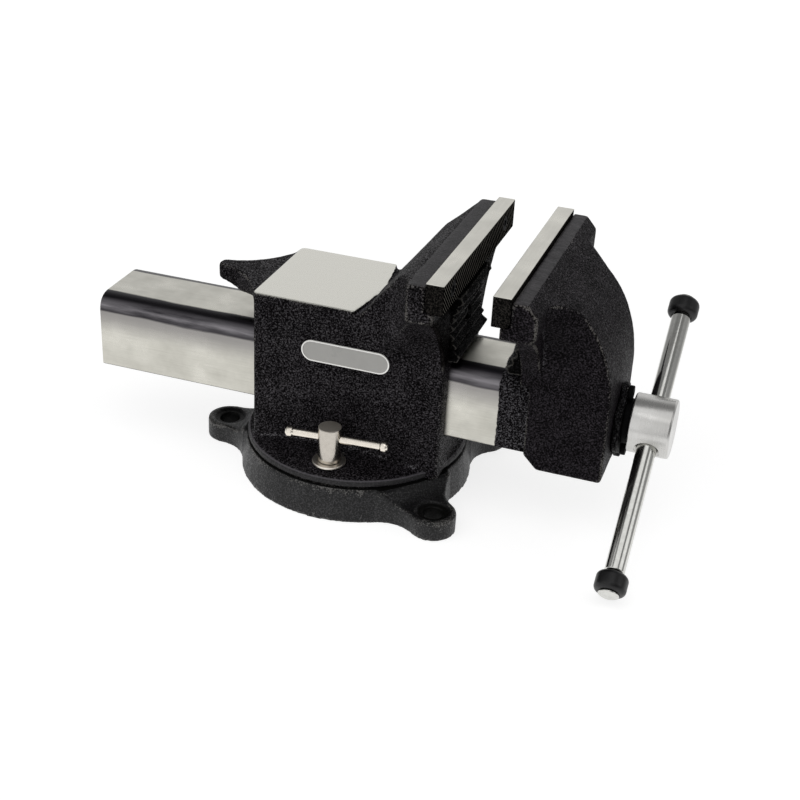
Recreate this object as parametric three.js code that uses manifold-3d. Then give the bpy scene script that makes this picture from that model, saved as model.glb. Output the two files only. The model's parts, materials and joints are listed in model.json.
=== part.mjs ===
// A swivelling bench vise with a box slide, as the separate pieces it comes apart into.
// Lengths are millimetres. X is the way the jaws open, Y runs along the jaws, Z is up.
// The origin is the swivel axis on the bench. A name that ends in Z, X or Y is a place on that axis.
import * as THREE from "three";
import { mergeVertices } from "three/addons/utils/BufferGeometryUtils.js";
import Module from "manifold-3d";

// Gaps between pieces
const seat = 0.3; // between pieces that are screwed or pressed together
const slideFit = 0.35; // round the slide bar in its tunnel
const turnFit = 0.4; // round a pin or shaft that turns or slides
const overrun = 5; // how far a cut runs past the face that it opens

// Swivel base
const baseRadius = 75.3;
const baseDraft = 3; // how far the wall leans in by the top
const baseHeight = 22.4;
const baseChamfer = 0.8;
const benchHubRadius = 26;
const benchRecess = 4.5;
const benchRimWidth = 8;
const lugCircle = 91.5;
const lugSpread = 39; // degrees either side of X for the two front lugs
const lugEndRadius = 14.5;
const lugRootHalf = 27;
const lugHeight = 13.2;
const lugHoleRadius = 6.5;
const lugSpotRadius = 10.5;
const lugSpotDepth = 1.6;

// Swivel lock: a bolt in the ring slot of the base, a washer and a nut post with a cross bar
const lockRadius = 56;
const lockBearing = 2; // degrees round from the side of the body
const lockShankRadius = 5;
const lockHeadHalf = 8.5;
const lockHeadThick = 5;
const slotPlay = 1.2;
const slotLip = 5.2;
const lockWasherRadius = 10.5;
const lockWasherThick = 1.6;
const lockPostRadius = 7.25;
const lockPostHeight = 23;
const lockPostChamfer = 1;
const lockBarDrop = 8; // from the top of the post to the cross bar
const lockBarRadius = 2.6;
const lockBarLength = 65;
const lockBarEndRadius = 3.5;
const lockBarEndLength = 5;
const lockBarShift = 4.5; // how far the bar has slid towards the moving jaw
const lockBarTurn = 5; // degrees, that end towards the body
const lockThreadLength = 11;

// Pivot pin
const pivotRadius = 11;
const pivotDip = 12;
const pivotPress = 15;

// Body casting
const flangeRadius = 71.3;
const flangeEdge = 4;
const flangeShoulder = 2.5;
const flangeRise = 6.5;
const lockSeatHeight = 7.3;
const bodyRear = 57.4;
const bodyFront = 66.8;
const bodyHalf = 39.6;
const bodyCorner = 4;
const anvilZ = 126.6;
const anvilFrontX = 8.6;
const anvilBulge = 4;
const anvilStep = 3;
const hornLength = 40;
const hornTipHalf = 5;
const hornTipDepth = 10;
const hornTopDrop = 1.6;
const hornKeel = 16;
const hornBrow = 2;

// Jaws
const jawWidth = 150;
const opening = 27.8;
const plateThick = 10.5;
const plateHeight = 18.4;
const plateTopZ = 169.4;
const plateProud = 2.6; // the plates stand this far above the castings
const plateCorner = 4.5;
const faceAhead = 6.8; // the fixed jaw face stands this far ahead of the body
const ledgeSetback = 5;
const ledgeHeight = 7;
const headTop = 11.5;
const headBackRound = 8;
const headShoulderRun = 13.5;
const headShoulderDrop = 9.5;
const flareRun = 36;
const flareAboveBadge = 1; // from the name plate up to the foot of the sweep
const flareBendShare = 0.35; // how far out the sweep of the head's ends bends
const flareRiseShare = 0.24; // how far below their foot
const plateScrewReach = 55; // from the middle of the jaw to each screw

// Pipe jaws
const pipeJawHalf = 30;
const pipeJawThick = 16;
const pipeJawAboveBar = 3.2;
const pipeHollow = 4.6;
const pipeLip = 4;
const pipeTeeth = 6;
const pipeToothDepth = 1.9;

// Slide bar
const barHalf = 27.7;
const barBottomZ = 48.5;
const barTopZ = 97.8;
const barTopRound = 11.6;
const barEdgeRound = 1.5;
const barTail = 112.7; // behind the body when the jaws are as far apart as here
const barRoof = 9.8;
const barWall = 10.7;
const barSocket = 27.5; // how far the bar goes into the moving jaw
const barPinRadius = 3;
const barPinLength = 15;

// Moving jaw casting
const webHalf = 37;
const webBottomZ = 43.5;
const webSetback = 6.2; // the foot of the web stands behind the plate seat
const webDepth = 54.8;
const webCrownZ = 159.9;
const webShoulderZ = 90.3;
const webCrownRun = 8.5;
const webToe = 8.8;
const webHeel = 1.2;
const movingTop = 9;
const movingBack = 15.4;
const movingBackDrop = 7.5;
const movingFlareDrop = 38;
const movingHeadToe = 3;
const sweepStartX = 146; // where the web's sides begin to sweep out to the head
const sweepHalf = 60; // how wide the sweep has grown at the head
const sweepBend = 4;
const sweepDrop = 32;

// Spindle, its cover and its collar
const spindleZ = 69.7;
const threadRadius = 11;
const threadRootRadius = 8.7;
const pitch = 6;
const threadCrestShare = 0.17; // of the pitch, either side of the middle of the ridge
const threadRootShare = 0.36;
const journalRadius = 10;
const spindleTail = 92; // behind the swivel axis
const hubRadius = 18.3;
const hubLength = 25.4;
const hubChamfer = 1.4;
const coverRadius = 20.8;
const coverLobeReach = 19;
const coverLobeRadius = 6.2;
const coverThick = 4.2;
const thrustWasherThick = 3.6;
const collarRadius = 15;
const collarLength = 9;
const collarPinRadius = 2.2;

// Spindle nut, bolted to the floor of the body
const nutHalf = 14;
const nutLength = 40;
const nutCentreX = 37;
const nutCrown = 7; // of metal above the thread
const nutBoltPitch = 24;

// Handle
const handleRadius = 6;
const handleAngle = 31.5; // degrees, the far end raised
const handleUpper = 87.5; // from the spindle axis to the middle of each knob
const handleLower = 107;
const knobRadius = 9.5;
const knobLength = 12.5;
const knobEdge = 2.2;
const neckRadius = 4.6;
const rivetLength = 1.4;
const rivetRadius = 6.2;

// Screws: head radius, head height, shank radius, whole length and key width
const plateScrew = { head: 4.9, headHeight: 5.4, shank: 3, length: 19, key: 4.2 };
const pipeScrew = { head: 4.9, headHeight: 5, shank: 3, length: 17, key: 4.2 };
const coverScrew = { head: 4.6, headHeight: 2.6, shank: 2.5, length: 13, key: 3.2 };
const nutBolt = { head: 6.5, headHeight: 8, shank: 4, length: 32, key: 6 };

// Name plate, left blank
const badgeLength = 57;
const badgeHeight = 14;
const badgeThick = 1;
const badgeX = 4.5;
const badgeZ = 96;

// Facets round a full turn
const roundLarge = 48;
const roundMedium = 32;
const roundSmall = 18;
const threadSteps = 8;
const arcSteps = 8;

// Places worked out from the sizes above
const jawHalf = jawWidth / 2;
const fixedFaceX = bodyFront + faceAhead;
const movingFaceX = fixedFaceX + opening;
const fixedSeatX = fixedFaceX - plateThick - seat;
const movingSeatX = movingFaceX + plateThick + seat;
const castTopZ = plateTopZ - plateProud;
const plateBottomZ = plateTopZ - plateHeight;
const ledgeTopZ = plateBottomZ - seat;
const ledgeBottomZ = ledgeTopZ - ledgeHeight;
const plateMidZ = (plateTopZ + plateBottomZ) / 2;
const pipeBottomZ = barTopZ + pipeJawAboveBar;
const pipeTopZ = ledgeBottomZ - seat;
const pipeMidZ = (pipeBottomZ + pipeTopZ) / 2;
const flareFootZ = badgeZ + badgeHeight / 2 + flareAboveBadge;
const flareDrop = ledgeBottomZ + seat - flareFootZ;
const bodyFootZ = baseHeight + seat;
const tunnelFloorZ = barBottomZ - slideFit;
const barRearX = -bodyRear - barTail;
const webFrontX = movingSeatX + webSetback;
const webBackX = movingSeatX + webDepth;
const barFrontX = webFrontX + barSocket;
const cavityHalf = barHalf - barWall;
const coverX = webBackX + seat;
const thrustX = coverX + coverThick + seat;
const thrustWasherRadius = coverLobeReach - coverScrew.head - turnFit;
const hubX = thrustX + thrustWasherThick + seat;
const hubMidX = hubX + hubLength / 2;
const lockSeatZ = bodyFootZ + lockSeatHeight;
const slotCeilingZ = baseHeight - slotLip;
const slotFloorZ = slotCeilingZ - lockHeadThick - 2 * seat;
const postBottomZ = lockSeatZ + lockWasherThick + 2 * seat;
const postTopZ = postBottomZ + lockPostHeight;

// Finishes
const castPaint = new THREE.MeshStandardMaterial({ color: "#1b1b1c", roughness: 0.62, metalness: 0.1 });
const basePaint = new THREE.MeshStandardMaterial({ color: "#2d2d2f", roughness: 0.6, metalness: 0.1 });
const groundSteel = new THREE.MeshStandardMaterial({ color: "#c9c8c2", roughness: 0.35, metalness: 1 });
const darkSteel = new THREE.MeshStandardMaterial({ color: "#26262a", roughness: 0.5, metalness: 0.8 });
const platedSteel = new THREE.MeshStandardMaterial({ color: "#c4c4c8", roughness: 0.2, metalness: 1 });
const bronze = new THREE.MeshStandardMaterial({ color: "#9a7b45", roughness: 0.45, metalness: 1 });
const rubber = new THREE.MeshStandardMaterial({ color: "#141414", roughness: 0.75, metalness: 0 });
const badgeEnamel = new THREE.MeshStandardMaterial({ color: "#d9d9d6", roughness: 0.35, metalness: 0.2 });

const wasm = await Module();
wasm.setup();

const radians = THREE.MathUtils.degToRad;

// Turns a closed geometry into a solid, facing out.
function solid(geometry) {
  const bare = new THREE.BufferGeometry().setAttribute("position", geometry.getAttribute("position"));
  if (geometry.index) bare.setIndex(geometry.index);
  const merged = mergeVertices(bare);
  const triVerts = new Uint32Array(merged.index.array);
  const vertProperties = merged.getAttribute("position").array;
  const made = new wasm.Manifold(new wasm.Mesh({ numProp: 3, vertProperties, triVerts }));
  if (made.volume() >= 0) return made;
  for (let i = 0; i < triVerts.length; i += 3) {
    [triVerts[i], triVerts[i + 1]] = [triVerts[i + 1], triVerts[i]];
  }
  return new wasm.Manifold(new wasm.Mesh({ numProp: 3, vertProperties, triVerts }));
}

// A named mesh from a solid.
function piece(name, made, material) {
  const { vertProperties, triVerts } = made.getMesh();
  const geometry = new THREE.BufferGeometry();
  geometry.setAttribute("position", new THREE.BufferAttribute(vertProperties, 3));
  geometry.setIndex(new THREE.BufferAttribute(triVerts, 1));
  geometry.computeVertexNormals();
  const mesh = new THREE.Mesh(geometry, material);
  mesh.name = name;
  return mesh;
}

// A shape with round corners from [across, up, corner radius] points; no radius is a sharp corner.
function outline(corners) {
  const shape = new THREE.Shape();
  const at = (i) => new THREE.Vector2(...corners[(i + corners.length) % corners.length]);
  corners.forEach(([, , radius = 0], i) => {
    const here = at(i);
    const before = at(i - 1).sub(here);
    const after = at(i + 1).sub(here);
    const half = Math.abs(before.angleTo(after)) / 2;
    const reach = Math.min(radius / Math.tan(half), before.length() / 2, after.length() / 2);
    const from = here.clone().addScaledVector(before.normalize(), reach);
    const to = here.clone().addScaledVector(after.normalize(), reach);
    if (i === 0) shape.moveTo(from.x, from.y);
    else shape.lineTo(from.x, from.y);
    if (reach > 0) shape.quadraticCurveTo(here.x, here.y, to.x, to.y);
  });
  shape.closePath();
  return shape;
}

// The solid of a shape drawn across two axes and run along the third, from one place to another.
function run(shape, axis, from, to, curveSegments = arcSteps) {
  const geometry = new THREE.ExtrudeGeometry(shape, { depth: to - from, bevelEnabled: false, curveSegments });
  const [x, y, z] = [new THREE.Vector3(1, 0, 0), new THREE.Vector3(0, 1, 0), new THREE.Vector3(0, 0, 1)];
  const frames = { x: [y, z, x, from], y: [x, z, y.clone().negate(), -to], z: [x, y, z, from] };
  const [across, up, along, start] = frames[axis];
  const matrix = new THREE.Matrix4().makeBasis(across, up, along);
  return solid(geometry.applyMatrix4(matrix.setPosition(along.clone().multiplyScalar(start))));
}

// A turned solid from [radius, place] points, round the Z axis or the X axis.
function turned(points, axis = "z", facets = roundMedium) {
  const geometry = new THREE.LatheGeometry(points.map(([r, h]) => new THREE.Vector2(r, h)), facets);
  if (axis === "z") geometry.rotateX(Math.PI / 2);
  else geometry.rotateZ(-Math.PI / 2);
  return solid(geometry);
}

// A plain pin between two places on its axis.
function pin(radius, from, to, axis = "z", facets = roundSmall) {
  return turned([[0, from], [radius, from], [radius, to], [0, to]], axis, facets);
}

// A plain ring between two places on its axis.
function ring(inner, outer, from, to, axis = "z", facets = roundMedium) {
  const points = [[inner, from], [outer, from], [outer, to], [inner, to], [inner, from]];
  return turned(points, axis, facets);
}

function moved(made, x, y, z) {
  return made.translate([x, y, z]);
}

function group(x, y, z, ...members) {
  const made = new THREE.Group();
  made.position.set(x, y, z);
  made.add(...members);
  return made;
}

// A socket screw along X: its head ends at 0 and its shank runs towards -X.
function socketScrew(size) {
  const body = turned([
    [0, 0],
    [size.head, 0],
    [size.head, -size.headHeight],
    [size.shank, -size.headHeight],
    [size.shank, -size.length],
    [0, -size.length],
  ], "x", roundSmall);
  const hex = new THREE.Shape();
  for (let side = 0; side < 6; side += 1) {
    const angle = (side * Math.PI) / 3;
    const reach = size.key / Math.sqrt(3);
    const point = [reach * Math.cos(angle), reach * Math.sin(angle)];
    if (side) hex.lineTo(...point);
    else hex.moveTo(...point);
  }
  hex.closePath();
  return body.subtract(run(hex, "x", -size.headHeight / 2, overrun));
}

// The hole that such a screw needs, with its head's room from the given depth outwards.
function screwRoom(size, headDepth) {
  const shank = pin(size.shank + seat, -size.length - seat, overrun, "x");
  const head = pin(size.head + turnFit, -headDepth, overrun, "x");
  return shank.add(head);
}

// The section of the slide bar across Y and Z, grown all round by a gap.
function barSection(gap) {
  const top = barTopRound + gap;
  const edge = barEdgeRound + gap;
  return outline([
    [-barHalf - gap, barBottomZ - gap, edge],
    [barHalf + gap, barBottomZ - gap, edge],
    [barHalf + gap, barTopZ + gap, top],
    [-barHalf - gap, barTopZ + gap, top],
  ]);
}

// Base casting: disc with a ring slot, a socket for the pivot, and three lugs.
function swivelBase() {
  const mouth = lockShankRadius + slotPlay;
  const wide = lockHeadHalf + slotPlay;
  const socketFloorZ = baseHeight - pivotDip - seat;
  const rim = baseRadius - benchRimWidth;
  let made = turned([
    [0, 0],
    [benchHubRadius, 0],
    [benchHubRadius, benchRecess],
    [rim, benchRecess],
    [rim, 0],
    [baseRadius, 0],
    [baseRadius - baseDraft, baseHeight - baseChamfer],
    [baseRadius - baseDraft - baseChamfer, baseHeight],
    [lockRadius + mouth, baseHeight],
    [lockRadius + mouth, slotCeilingZ],
    [lockRadius + wide, slotCeilingZ],
    [lockRadius + wide, slotFloorZ],
    [lockRadius - wide, slotFloorZ],
    [lockRadius - wide, slotCeilingZ],
    [lockRadius - mouth, slotCeilingZ],
    [lockRadius - mouth, baseHeight],
    [pivotRadius + turnFit, baseHeight],
    [pivotRadius + turnFit, socketFloorZ],
    [0, socketFloorZ],
  ], "z", roundLarge);
  const core = turned([[0, -overrun], [rim, -overrun], [rim, baseHeight + overrun], [0, baseHeight + overrun]],
    "z", roundLarge);
  for (const bearing of [180, lugSpread, -lugSpread]) {
    const lug = baseLug().subtract(core.rotate([0, 0, -bearing])).rotate([0, 0, bearing]);
    made = made.add(lug);
  }
  return piece("swivel_base", made, basePaint);
}

// One lug along +X: a round end, sides and top that sweep up to the disc, and a spot-faced hole.
function baseLug() {
  const root = baseRadius * Math.cos(Math.asin(lugRootHalf / baseRadius));
  const plan = new THREE.Shape();
  plan.moveTo(0, -lugRootHalf);
  plan.lineTo(root, -lugRootHalf);
  plan.quadraticCurveTo(root + lugEndRadius / 2, -lugEndRadius, lugCircle, -lugEndRadius);
  plan.absarc(lugCircle, 0, lugEndRadius, -Math.PI / 2, Math.PI / 2, false);
  plan.quadraticCurveTo(root + lugEndRadius / 2, lugEndRadius, root, lugRootHalf);
  plan.lineTo(0, lugRootHalf);
  plan.closePath();
  const rimX = baseRadius - baseDraft - baseChamfer;
  const rimZ = baseHeight - baseChamfer;
  const flatX = lugCircle - lugSpotRadius;
  const side = new THREE.Shape();
  side.moveTo(0, 0);
  side.lineTo(lugCircle + lugEndRadius, 0);
  side.lineTo(lugCircle + lugEndRadius, lugHeight);
  side.lineTo(flatX, lugHeight);
  side.quadraticCurveTo((flatX + rimX) / 2, lugHeight, rimX, rimZ);
  side.lineTo(0, rimZ);
  side.closePath();
  const spotZ = lugHeight - lugSpotDepth;
  return run(plan, "z", 0, baseHeight)
    .intersect(run(side, "y", -lugRootHalf, lugRootHalf, arcSteps / 2))
    .subtract(moved(pin(lugHoleRadius, -overrun, baseHeight), lugCircle, 0, 0))
    .subtract(moved(pin(lugSpotRadius, spotZ, baseHeight, "z", roundMedium), lugCircle, 0, 0));
}

// The head of the fixed jaw: its side, plan and front outlines, run through each other.
function fixedHead() {
  const rootZ = barTopZ + slideFit + seat;
  const backX = fixedSeatX - headTop;
  const flareX = backX - flareRun;
  const slopeX = anvilFrontX + anvilStep;
  const side = outline([
    [bodyFront, rootZ],
    [bodyFront, ledgeBottomZ],
    [fixedFaceX - ledgeSetback, ledgeBottomZ],
    [fixedFaceX - ledgeSetback, ledgeTopZ],
    [fixedSeatX, ledgeTopZ],
    [fixedSeatX, castTopZ],
    [backX, castTopZ, headBackRound],
    [backX - headShoulderRun, castTopZ - headShoulderDrop, headBackRound],
    [slopeX, anvilZ - anvilStep],
    [slopeX, rootZ],
  ]);
  const frontX = fixedFaceX;
  const plan = new THREE.Shape();
  plan.moveTo(frontX, -jawHalf);
  plan.lineTo(frontX, jawHalf);
  plan.lineTo(backX, jawHalf);
  plan.absellipse(flareX, jawHalf, flareRun, jawHalf - bodyHalf, 0, -Math.PI / 2, true);
  plan.lineTo(-bodyRear, bodyHalf);
  plan.lineTo(-bodyRear, -bodyHalf);
  plan.lineTo(flareX, -bodyHalf);
  plan.absellipse(flareX, -jawHalf, flareRun, jawHalf - bodyHalf, Math.PI / 2, 0, true);
  plan.closePath();
  const front = headFront(bodyHalf, flareFootZ, flareDrop, rootZ);
  return run(side, "y", -jawHalf, jawHalf)
    .intersect(run(plan, "z", 0, plateTopZ + overrun))
    .intersect(run(front, "x", -bodyRear, frontX + overrun));
}

// The front outline that both heads share: full jaw width above, swept in to the body below.
function headFront(half, footZ, drop, rootZ) {
  const shape = new THREE.Shape();
  shape.moveTo(-half, rootZ - overrun);
  shape.lineTo(half, rootZ - overrun);
  shape.lineTo(half, footZ);
  const bend = [half + (jawHalf - half) * flareBendShare, footZ + drop * (1 - flareRiseShare)];
  shape.quadraticCurveTo(bend[0], bend[1], jawHalf, footZ + drop);
  shape.lineTo(jawHalf, plateTopZ + overrun);
  shape.lineTo(-jawHalf, plateTopZ + overrun);
  shape.lineTo(-jawHalf, footZ + drop);
  shape.quadraticCurveTo(-bend[0], bend[1], -half, footZ);
  shape.closePath();
  return shape;
}

// The horn at the back of the anvil: a beak with hollow flanks and a keel below.
function horn() {
  const tipX = -bodyRear - hornLength;
  const topZ = anvilZ - hornTopDrop;
  const rootX = -bodyRear + bodyCorner;
  const plan = new THREE.Shape();
  plan.moveTo(rootX, -bodyHalf);
  plan.lineTo(-bodyRear, -bodyHalf + bodyCorner / 2);
  plan.quadraticCurveTo(-bodyRear - hornLength / 3, -hornTipHalf * 2, tipX + hornTipHalf, -hornTipHalf);
  plan.absarc(tipX + hornTipHalf, 0, hornTipHalf, -Math.PI / 2, Math.PI / 2, true);
  plan.quadraticCurveTo(-bodyRear - hornLength / 3, hornTipHalf * 2, -bodyRear, bodyHalf - bodyCorner / 2);
  plan.lineTo(rootX, bodyHalf);
  plan.closePath();
  const side = outline([
    [rootX, topZ],
    [tipX, topZ, hornBrow],
    [tipX, topZ - hornTipDepth, hornBrow],
    [rootX, topZ - hornKeel - bodyCorner / 2],
  ]);
  const front = outline([
    [-bodyHalf, topZ],
    [-bodyHalf, topZ - hornBrow],
    [0, topZ - hornKeel - hornBrow, bodyHalf],
    [bodyHalf, topZ - hornBrow],
    [bodyHalf, topZ],
  ]);
  return run(plan, "z", 0, topZ + overrun)
    .intersect(run(side, "y", -bodyHalf, bodyHalf))
    .intersect(run(front, "x", tipX - overrun, rootX));
}

// The polished anvil pad, with its front edge bowed towards the jaw.
function anvilPad() {
  const plan = new THREE.Shape();
  plan.moveTo(-bodyRear, -bodyHalf + bodyCorner);
  plan.quadraticCurveTo(-bodyRear, -bodyHalf, -bodyRear + bodyCorner, -bodyHalf);
  plan.lineTo(anvilFrontX, -bodyHalf);
  plan.quadraticCurveTo(anvilFrontX + anvilBulge * 2, 0, anvilFrontX, bodyHalf);
  plan.lineTo(-bodyRear + bodyCorner, bodyHalf);
  plan.quadraticCurveTo(-bodyRear, bodyHalf, -bodyRear, bodyHalf - bodyCorner);
  plan.closePath();
  return run(plan, "z", anvilZ - 2 * anvilStep, anvilZ);
}

function lockPlaces() {
  const bearing = radians(lockBearing);
  const across = lockRadius * Math.sin(bearing);
  const out = lockRadius * Math.cos(bearing);
  return [
    { side: "front", x: across, y: -out, turn: lockBarTurn, shift: lockBarShift },
    { side: "rear", x: across, y: out, turn: -lockBarTurn, shift: lockBarShift },
  ];
}

// Body casting: round foot, block with the slide tunnel, anvil, horn and fixed jaw.
function viseBody() {
  const footTopZ = bodyFootZ + flangeEdge;
  const foot = turned([
    [0, bodyFootZ],
    [flangeRadius, bodyFootZ],
    [flangeRadius, footTopZ],
    [flangeRadius - flangeShoulder, footTopZ + flangeShoulder / 2],
    [bodyHalf, footTopZ + flangeRise],
    [0, footTopZ + flangeRise],
  ], "z", roundLarge);
  const blockTopZ = anvilZ - anvilStep;
  const block = run(outline([
    [-bodyRear, -bodyHalf, bodyCorner],
    [bodyFront, -bodyHalf, bodyCorner],
    [bodyFront, bodyHalf, bodyCorner],
    [-bodyRear, bodyHalf, bodyCorner],
  ]), "z", bodyFootZ, blockTopZ, arcSteps / 2);
  let made = foot.add(block).add(anvilPad()).add(horn()).add(fixedHead());
  made = made.subtract(run(barSection(slideFit), "x", -bodyRear - hornLength, fixedFaceX));
  const pipeRoom = run(outline([
    [fixedFaceX - pipeJawThick - seat, pipeBottomZ - seat],
    [fixedFaceX, pipeBottomZ - seat],
    [fixedFaceX, ledgeBottomZ],
    [fixedFaceX - pipeJawThick - seat, ledgeBottomZ],
  ]), "y", -pipeJawHalf - seat, pipeJawHalf + seat);
  made = made.subtract(pipeRoom);
  for (const y of [-plateScrewReach, plateScrewReach]) {
    made = made.subtract(moved(screwRoom(plateScrew, 0), fixedFaceX - seat, y, plateMidZ));
  }
  made = made.subtract(moved(screwRoom(pipeScrew, 0), pipeScrewX(), 0, pipeMidZ));
  for (const { x, y } of lockPlaces()) {
    const bore = pin(lockShankRadius + turnFit, bodyFootZ - overrun, lockSeatZ + overrun);
    const spot = pin(lockWasherRadius + 2 * turnFit, lockSeatZ, footTopZ + flangeRise, "z", roundMedium);
    made = made.subtract(moved(bore.add(spot), x, y, 0));
  }
  made = made.subtract(pin(pivotRadius + seat, bodyFootZ - overrun, bodyFootZ + pivotPress + seat, "z", roundMedium));
  for (const x of nutBoltPlaces()) {
    const shank = pin(nutBolt.shank + turnFit, bodyFootZ - overrun, tunnelFloorZ + overrun);
    const head = pin(nutBolt.head + turnFit, bodyFootZ - overrun, bodyFootZ + nutBolt.headHeight + 2 * seat);
    made = made.subtract(moved(shank.add(head), x, 0, 0));
  }
  return piece("vise_body", made, castPaint);
}

function nutBoltPlaces() {
  return [nutCentreX - nutBoltPitch / 2, nutCentreX + nutBoltPitch / 2];
}

// Where the head of the pipe jaw screw ends, on the fixed side.
function pipeScrewX() {
  return fixedFaceX - pipeHollow - pipeToothDepth - seat;
}

// A hardened jaw plate across X and Z, its working face at 0 and its back towards -X.
function jawPlate() {
  const side = outline([
    [0, plateBottomZ],
    [0, plateTopZ],
    [-plateThick, plateTopZ],
    [-plateThick, plateBottomZ, plateCorner],
  ]);
  let made = run(side, "y", -jawHalf, jawHalf, arcSteps / 2);
  for (const y of [-plateScrewReach, plateScrewReach]) {
    const headDepth = plateScrew.headHeight + 2 * seat;
    made = made.subtract(moved(screwRoom(plateScrew, headDepth), 0, y, plateMidZ));
  }
  return made;
}

// A toothed pipe jaw: a hollow face with level teeth, face at 0 and back towards -X.
function pipeJaw() {
  const shape = new THREE.Shape();
  shape.moveTo(-pipeJawThick, pipeBottomZ);
  shape.lineTo(-pipeToothDepth, pipeBottomZ);
  const rise = pipeTopZ - pipeBottomZ - 2 * pipeLip;
  for (let step = 0; step <= 2 * pipeTeeth; step += 1) {
    const share = step / (2 * pipeTeeth);
    const hollow = pipeHollow * (1 - (2 * share - 1) ** 2);
    const valley = step % 2 ? pipeToothDepth : 0;
    shape.lineTo(-hollow - valley, pipeBottomZ + pipeLip + rise * share);
  }
  shape.lineTo(-pipeToothDepth, pipeTopZ);
  shape.lineTo(-pipeJawThick, pipeTopZ);
  shape.closePath();
  const headDepth = pipeHollow + pipeToothDepth + pipeScrew.headHeight + 2 * seat;
  return run(shape, "y", -pipeJawHalf, pipeJawHalf)
    .subtract(moved(screwRoom(pipeScrew, headDepth), 0, 0, pipeMidZ));
}

// Plate, pipe jaw and their screws for one side; the moving side is the fixed one turned round.
function jawFittings(side) {
  const plateScrews = [["near", -plateScrewReach], ["far", plateScrewReach]].map(([end, y]) =>
    piece(`${side}_plate_screw_${end}`, moved(socketScrew(plateScrew), -seat, y, plateMidZ), darkSteel));
  const screwX = pipeScrewX() - fixedFaceX;
  return [
    piece(`${side}_jaw_plate`, jawPlate(), groundSteel),
    piece(`${side}_pipe_jaw`, pipeJaw(), darkSteel),
    piece(`${side}_pipe_jaw_screw`, moved(socketScrew(pipeScrew), screwX, 0, pipeMidZ), darkSteel),
    ...plateScrews,
  ];
}

// Nut block on the tunnel floor, threaded for the spindle, and the two bolts that hold it.
function spindleNut() {
  const topZ = spindleZ + threadRadius + nutCrown;
  const block = run(outline([
    [-nutHalf, tunnelFloorZ + seat],
    [nutHalf, tunnelFloorZ + seat],
    [nutHalf, topZ, nutCrown],
    [-nutHalf, topZ, nutCrown],
  ]), "x", nutCentreX - nutLength / 2, nutCentreX + nutLength / 2, arcSteps / 2);
  const bore = moved(pin(threadRadius + turnFit, nutCentreX - nutLength, nutCentreX + nutLength, "x", roundMedium),
    0, 0, spindleZ);
  let made = block.subtract(bore);
  const boltTopZ = bodyFootZ + seat + nutBolt.length + seat;
  for (const x of nutBoltPlaces()) {
    made = made.subtract(moved(pin(nutBolt.shank + seat, tunnelFloorZ, boltTopZ), x, 0, 0));
  }
  return piece("spindle_nut", made, bronze);
}

function spindleNutBolts() {
  return nutBoltPlaces().map((x, i) => {
    const upright = socketScrew(nutBolt).rotate([0, 90, 0]);
    return piece(`nut_bolt_${i + 1}`, moved(upright, x, 0, bodyFootZ + seat), darkSteel);
  });
}

// The blank name plate, a flat pill on the near side of the body.
function badge() {
  const half = badgeHeight / 2;
  const end = badgeLength / 2 - half;
  const shape = new THREE.Shape();
  shape.absarc(end, 0, half, -Math.PI / 2, Math.PI / 2, false);
  shape.absarc(-end, 0, half, Math.PI / 2, (3 * Math.PI) / 2, false);
  shape.closePath();
  const made = run(shape, "y", -bodyHalf - seat - badgeThick, -bodyHalf - seat);
  return piece("badge_plate", moved(made, badgeX, 0, badgeZ), badgeEnamel);
}

// Lock hardware that stays with the body: the bolt in the ring slot and its washer.
function lockBolt({ side, x, y }) {
  const headTopZ = slotCeilingZ - seat;
  const head = run(outline([
    [-lockHeadHalf, -lockHeadHalf],
    [lockHeadHalf, -lockHeadHalf],
    [lockHeadHalf, lockHeadHalf],
    [-lockHeadHalf, lockHeadHalf],
  ]), "z", headTopZ - lockHeadThick, headTopZ);
  const shank = pin(lockShankRadius, headTopZ - seat, postBottomZ + lockThreadLength - seat);
  const bolt = piece(`${side}_lock_bolt`, head.add(shank), darkSteel);
  const washerZ = lockSeatZ + seat;
  const washer = ring(lockShankRadius + turnFit, lockWasherRadius, washerZ, washerZ + lockWasherThick);
  return group(x, y, 0, bolt, piece(`${side}_lock_washer`, washer, platedSteel));
}

// The nut post with its cross bar, turned as a pair about the post.
function lockPost({ side, x, y, turn, shift }) {
  const barZ = postTopZ - lockBarDrop;
  const boreTopZ = postBottomZ + lockThreadLength;
  const post = turned([
    [lockShankRadius + seat, postBottomZ],
    [lockPostRadius, postBottomZ],
    [lockPostRadius, postTopZ - lockPostChamfer],
    [lockPostRadius - lockPostChamfer, postTopZ],
    [0, postTopZ],
    [0, boreTopZ],
    [lockShankRadius + seat, boreTopZ],
    [lockShankRadius + seat, postBottomZ],
  ], "z", roundMedium);
  const cross = moved(pin(lockBarRadius + turnFit, -lockPostRadius - overrun, lockPostRadius + overrun, "x"), 0, 0, barZ);
  const nut = piece(`${side}_lock_nut`, post.subtract(cross), platedSteel);
  const half = lockBarLength / 2;
  const shoulder = half - lockBarEndLength;
  const chamfer = lockBarEndRadius - lockBarRadius;
  const bar = turned([
    [0, -half],
    [lockBarRadius, -half],
    [lockBarEndRadius, -half + chamfer],
    [lockBarEndRadius, -shoulder - chamfer],
    [lockBarRadius, -shoulder],
    [lockBarRadius, shoulder],
    [lockBarEndRadius, shoulder + chamfer],
    [lockBarEndRadius, half - chamfer],
    [lockBarRadius, half],
    [0, half],
  ], "x", roundSmall);
  const made = group(x, y, 0, nut, piece(`${side}_lock_bar`, moved(bar, shift, 0, barZ), platedSteel));
  made.rotation.z = radians(turn);
  return made;
}

function pivotPin() {
  return piece("pivot_pin", pin(pivotRadius, bodyFootZ - pivotDip, bodyFootZ + pivotPress, "z", roundMedium), darkSteel);
}

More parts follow.
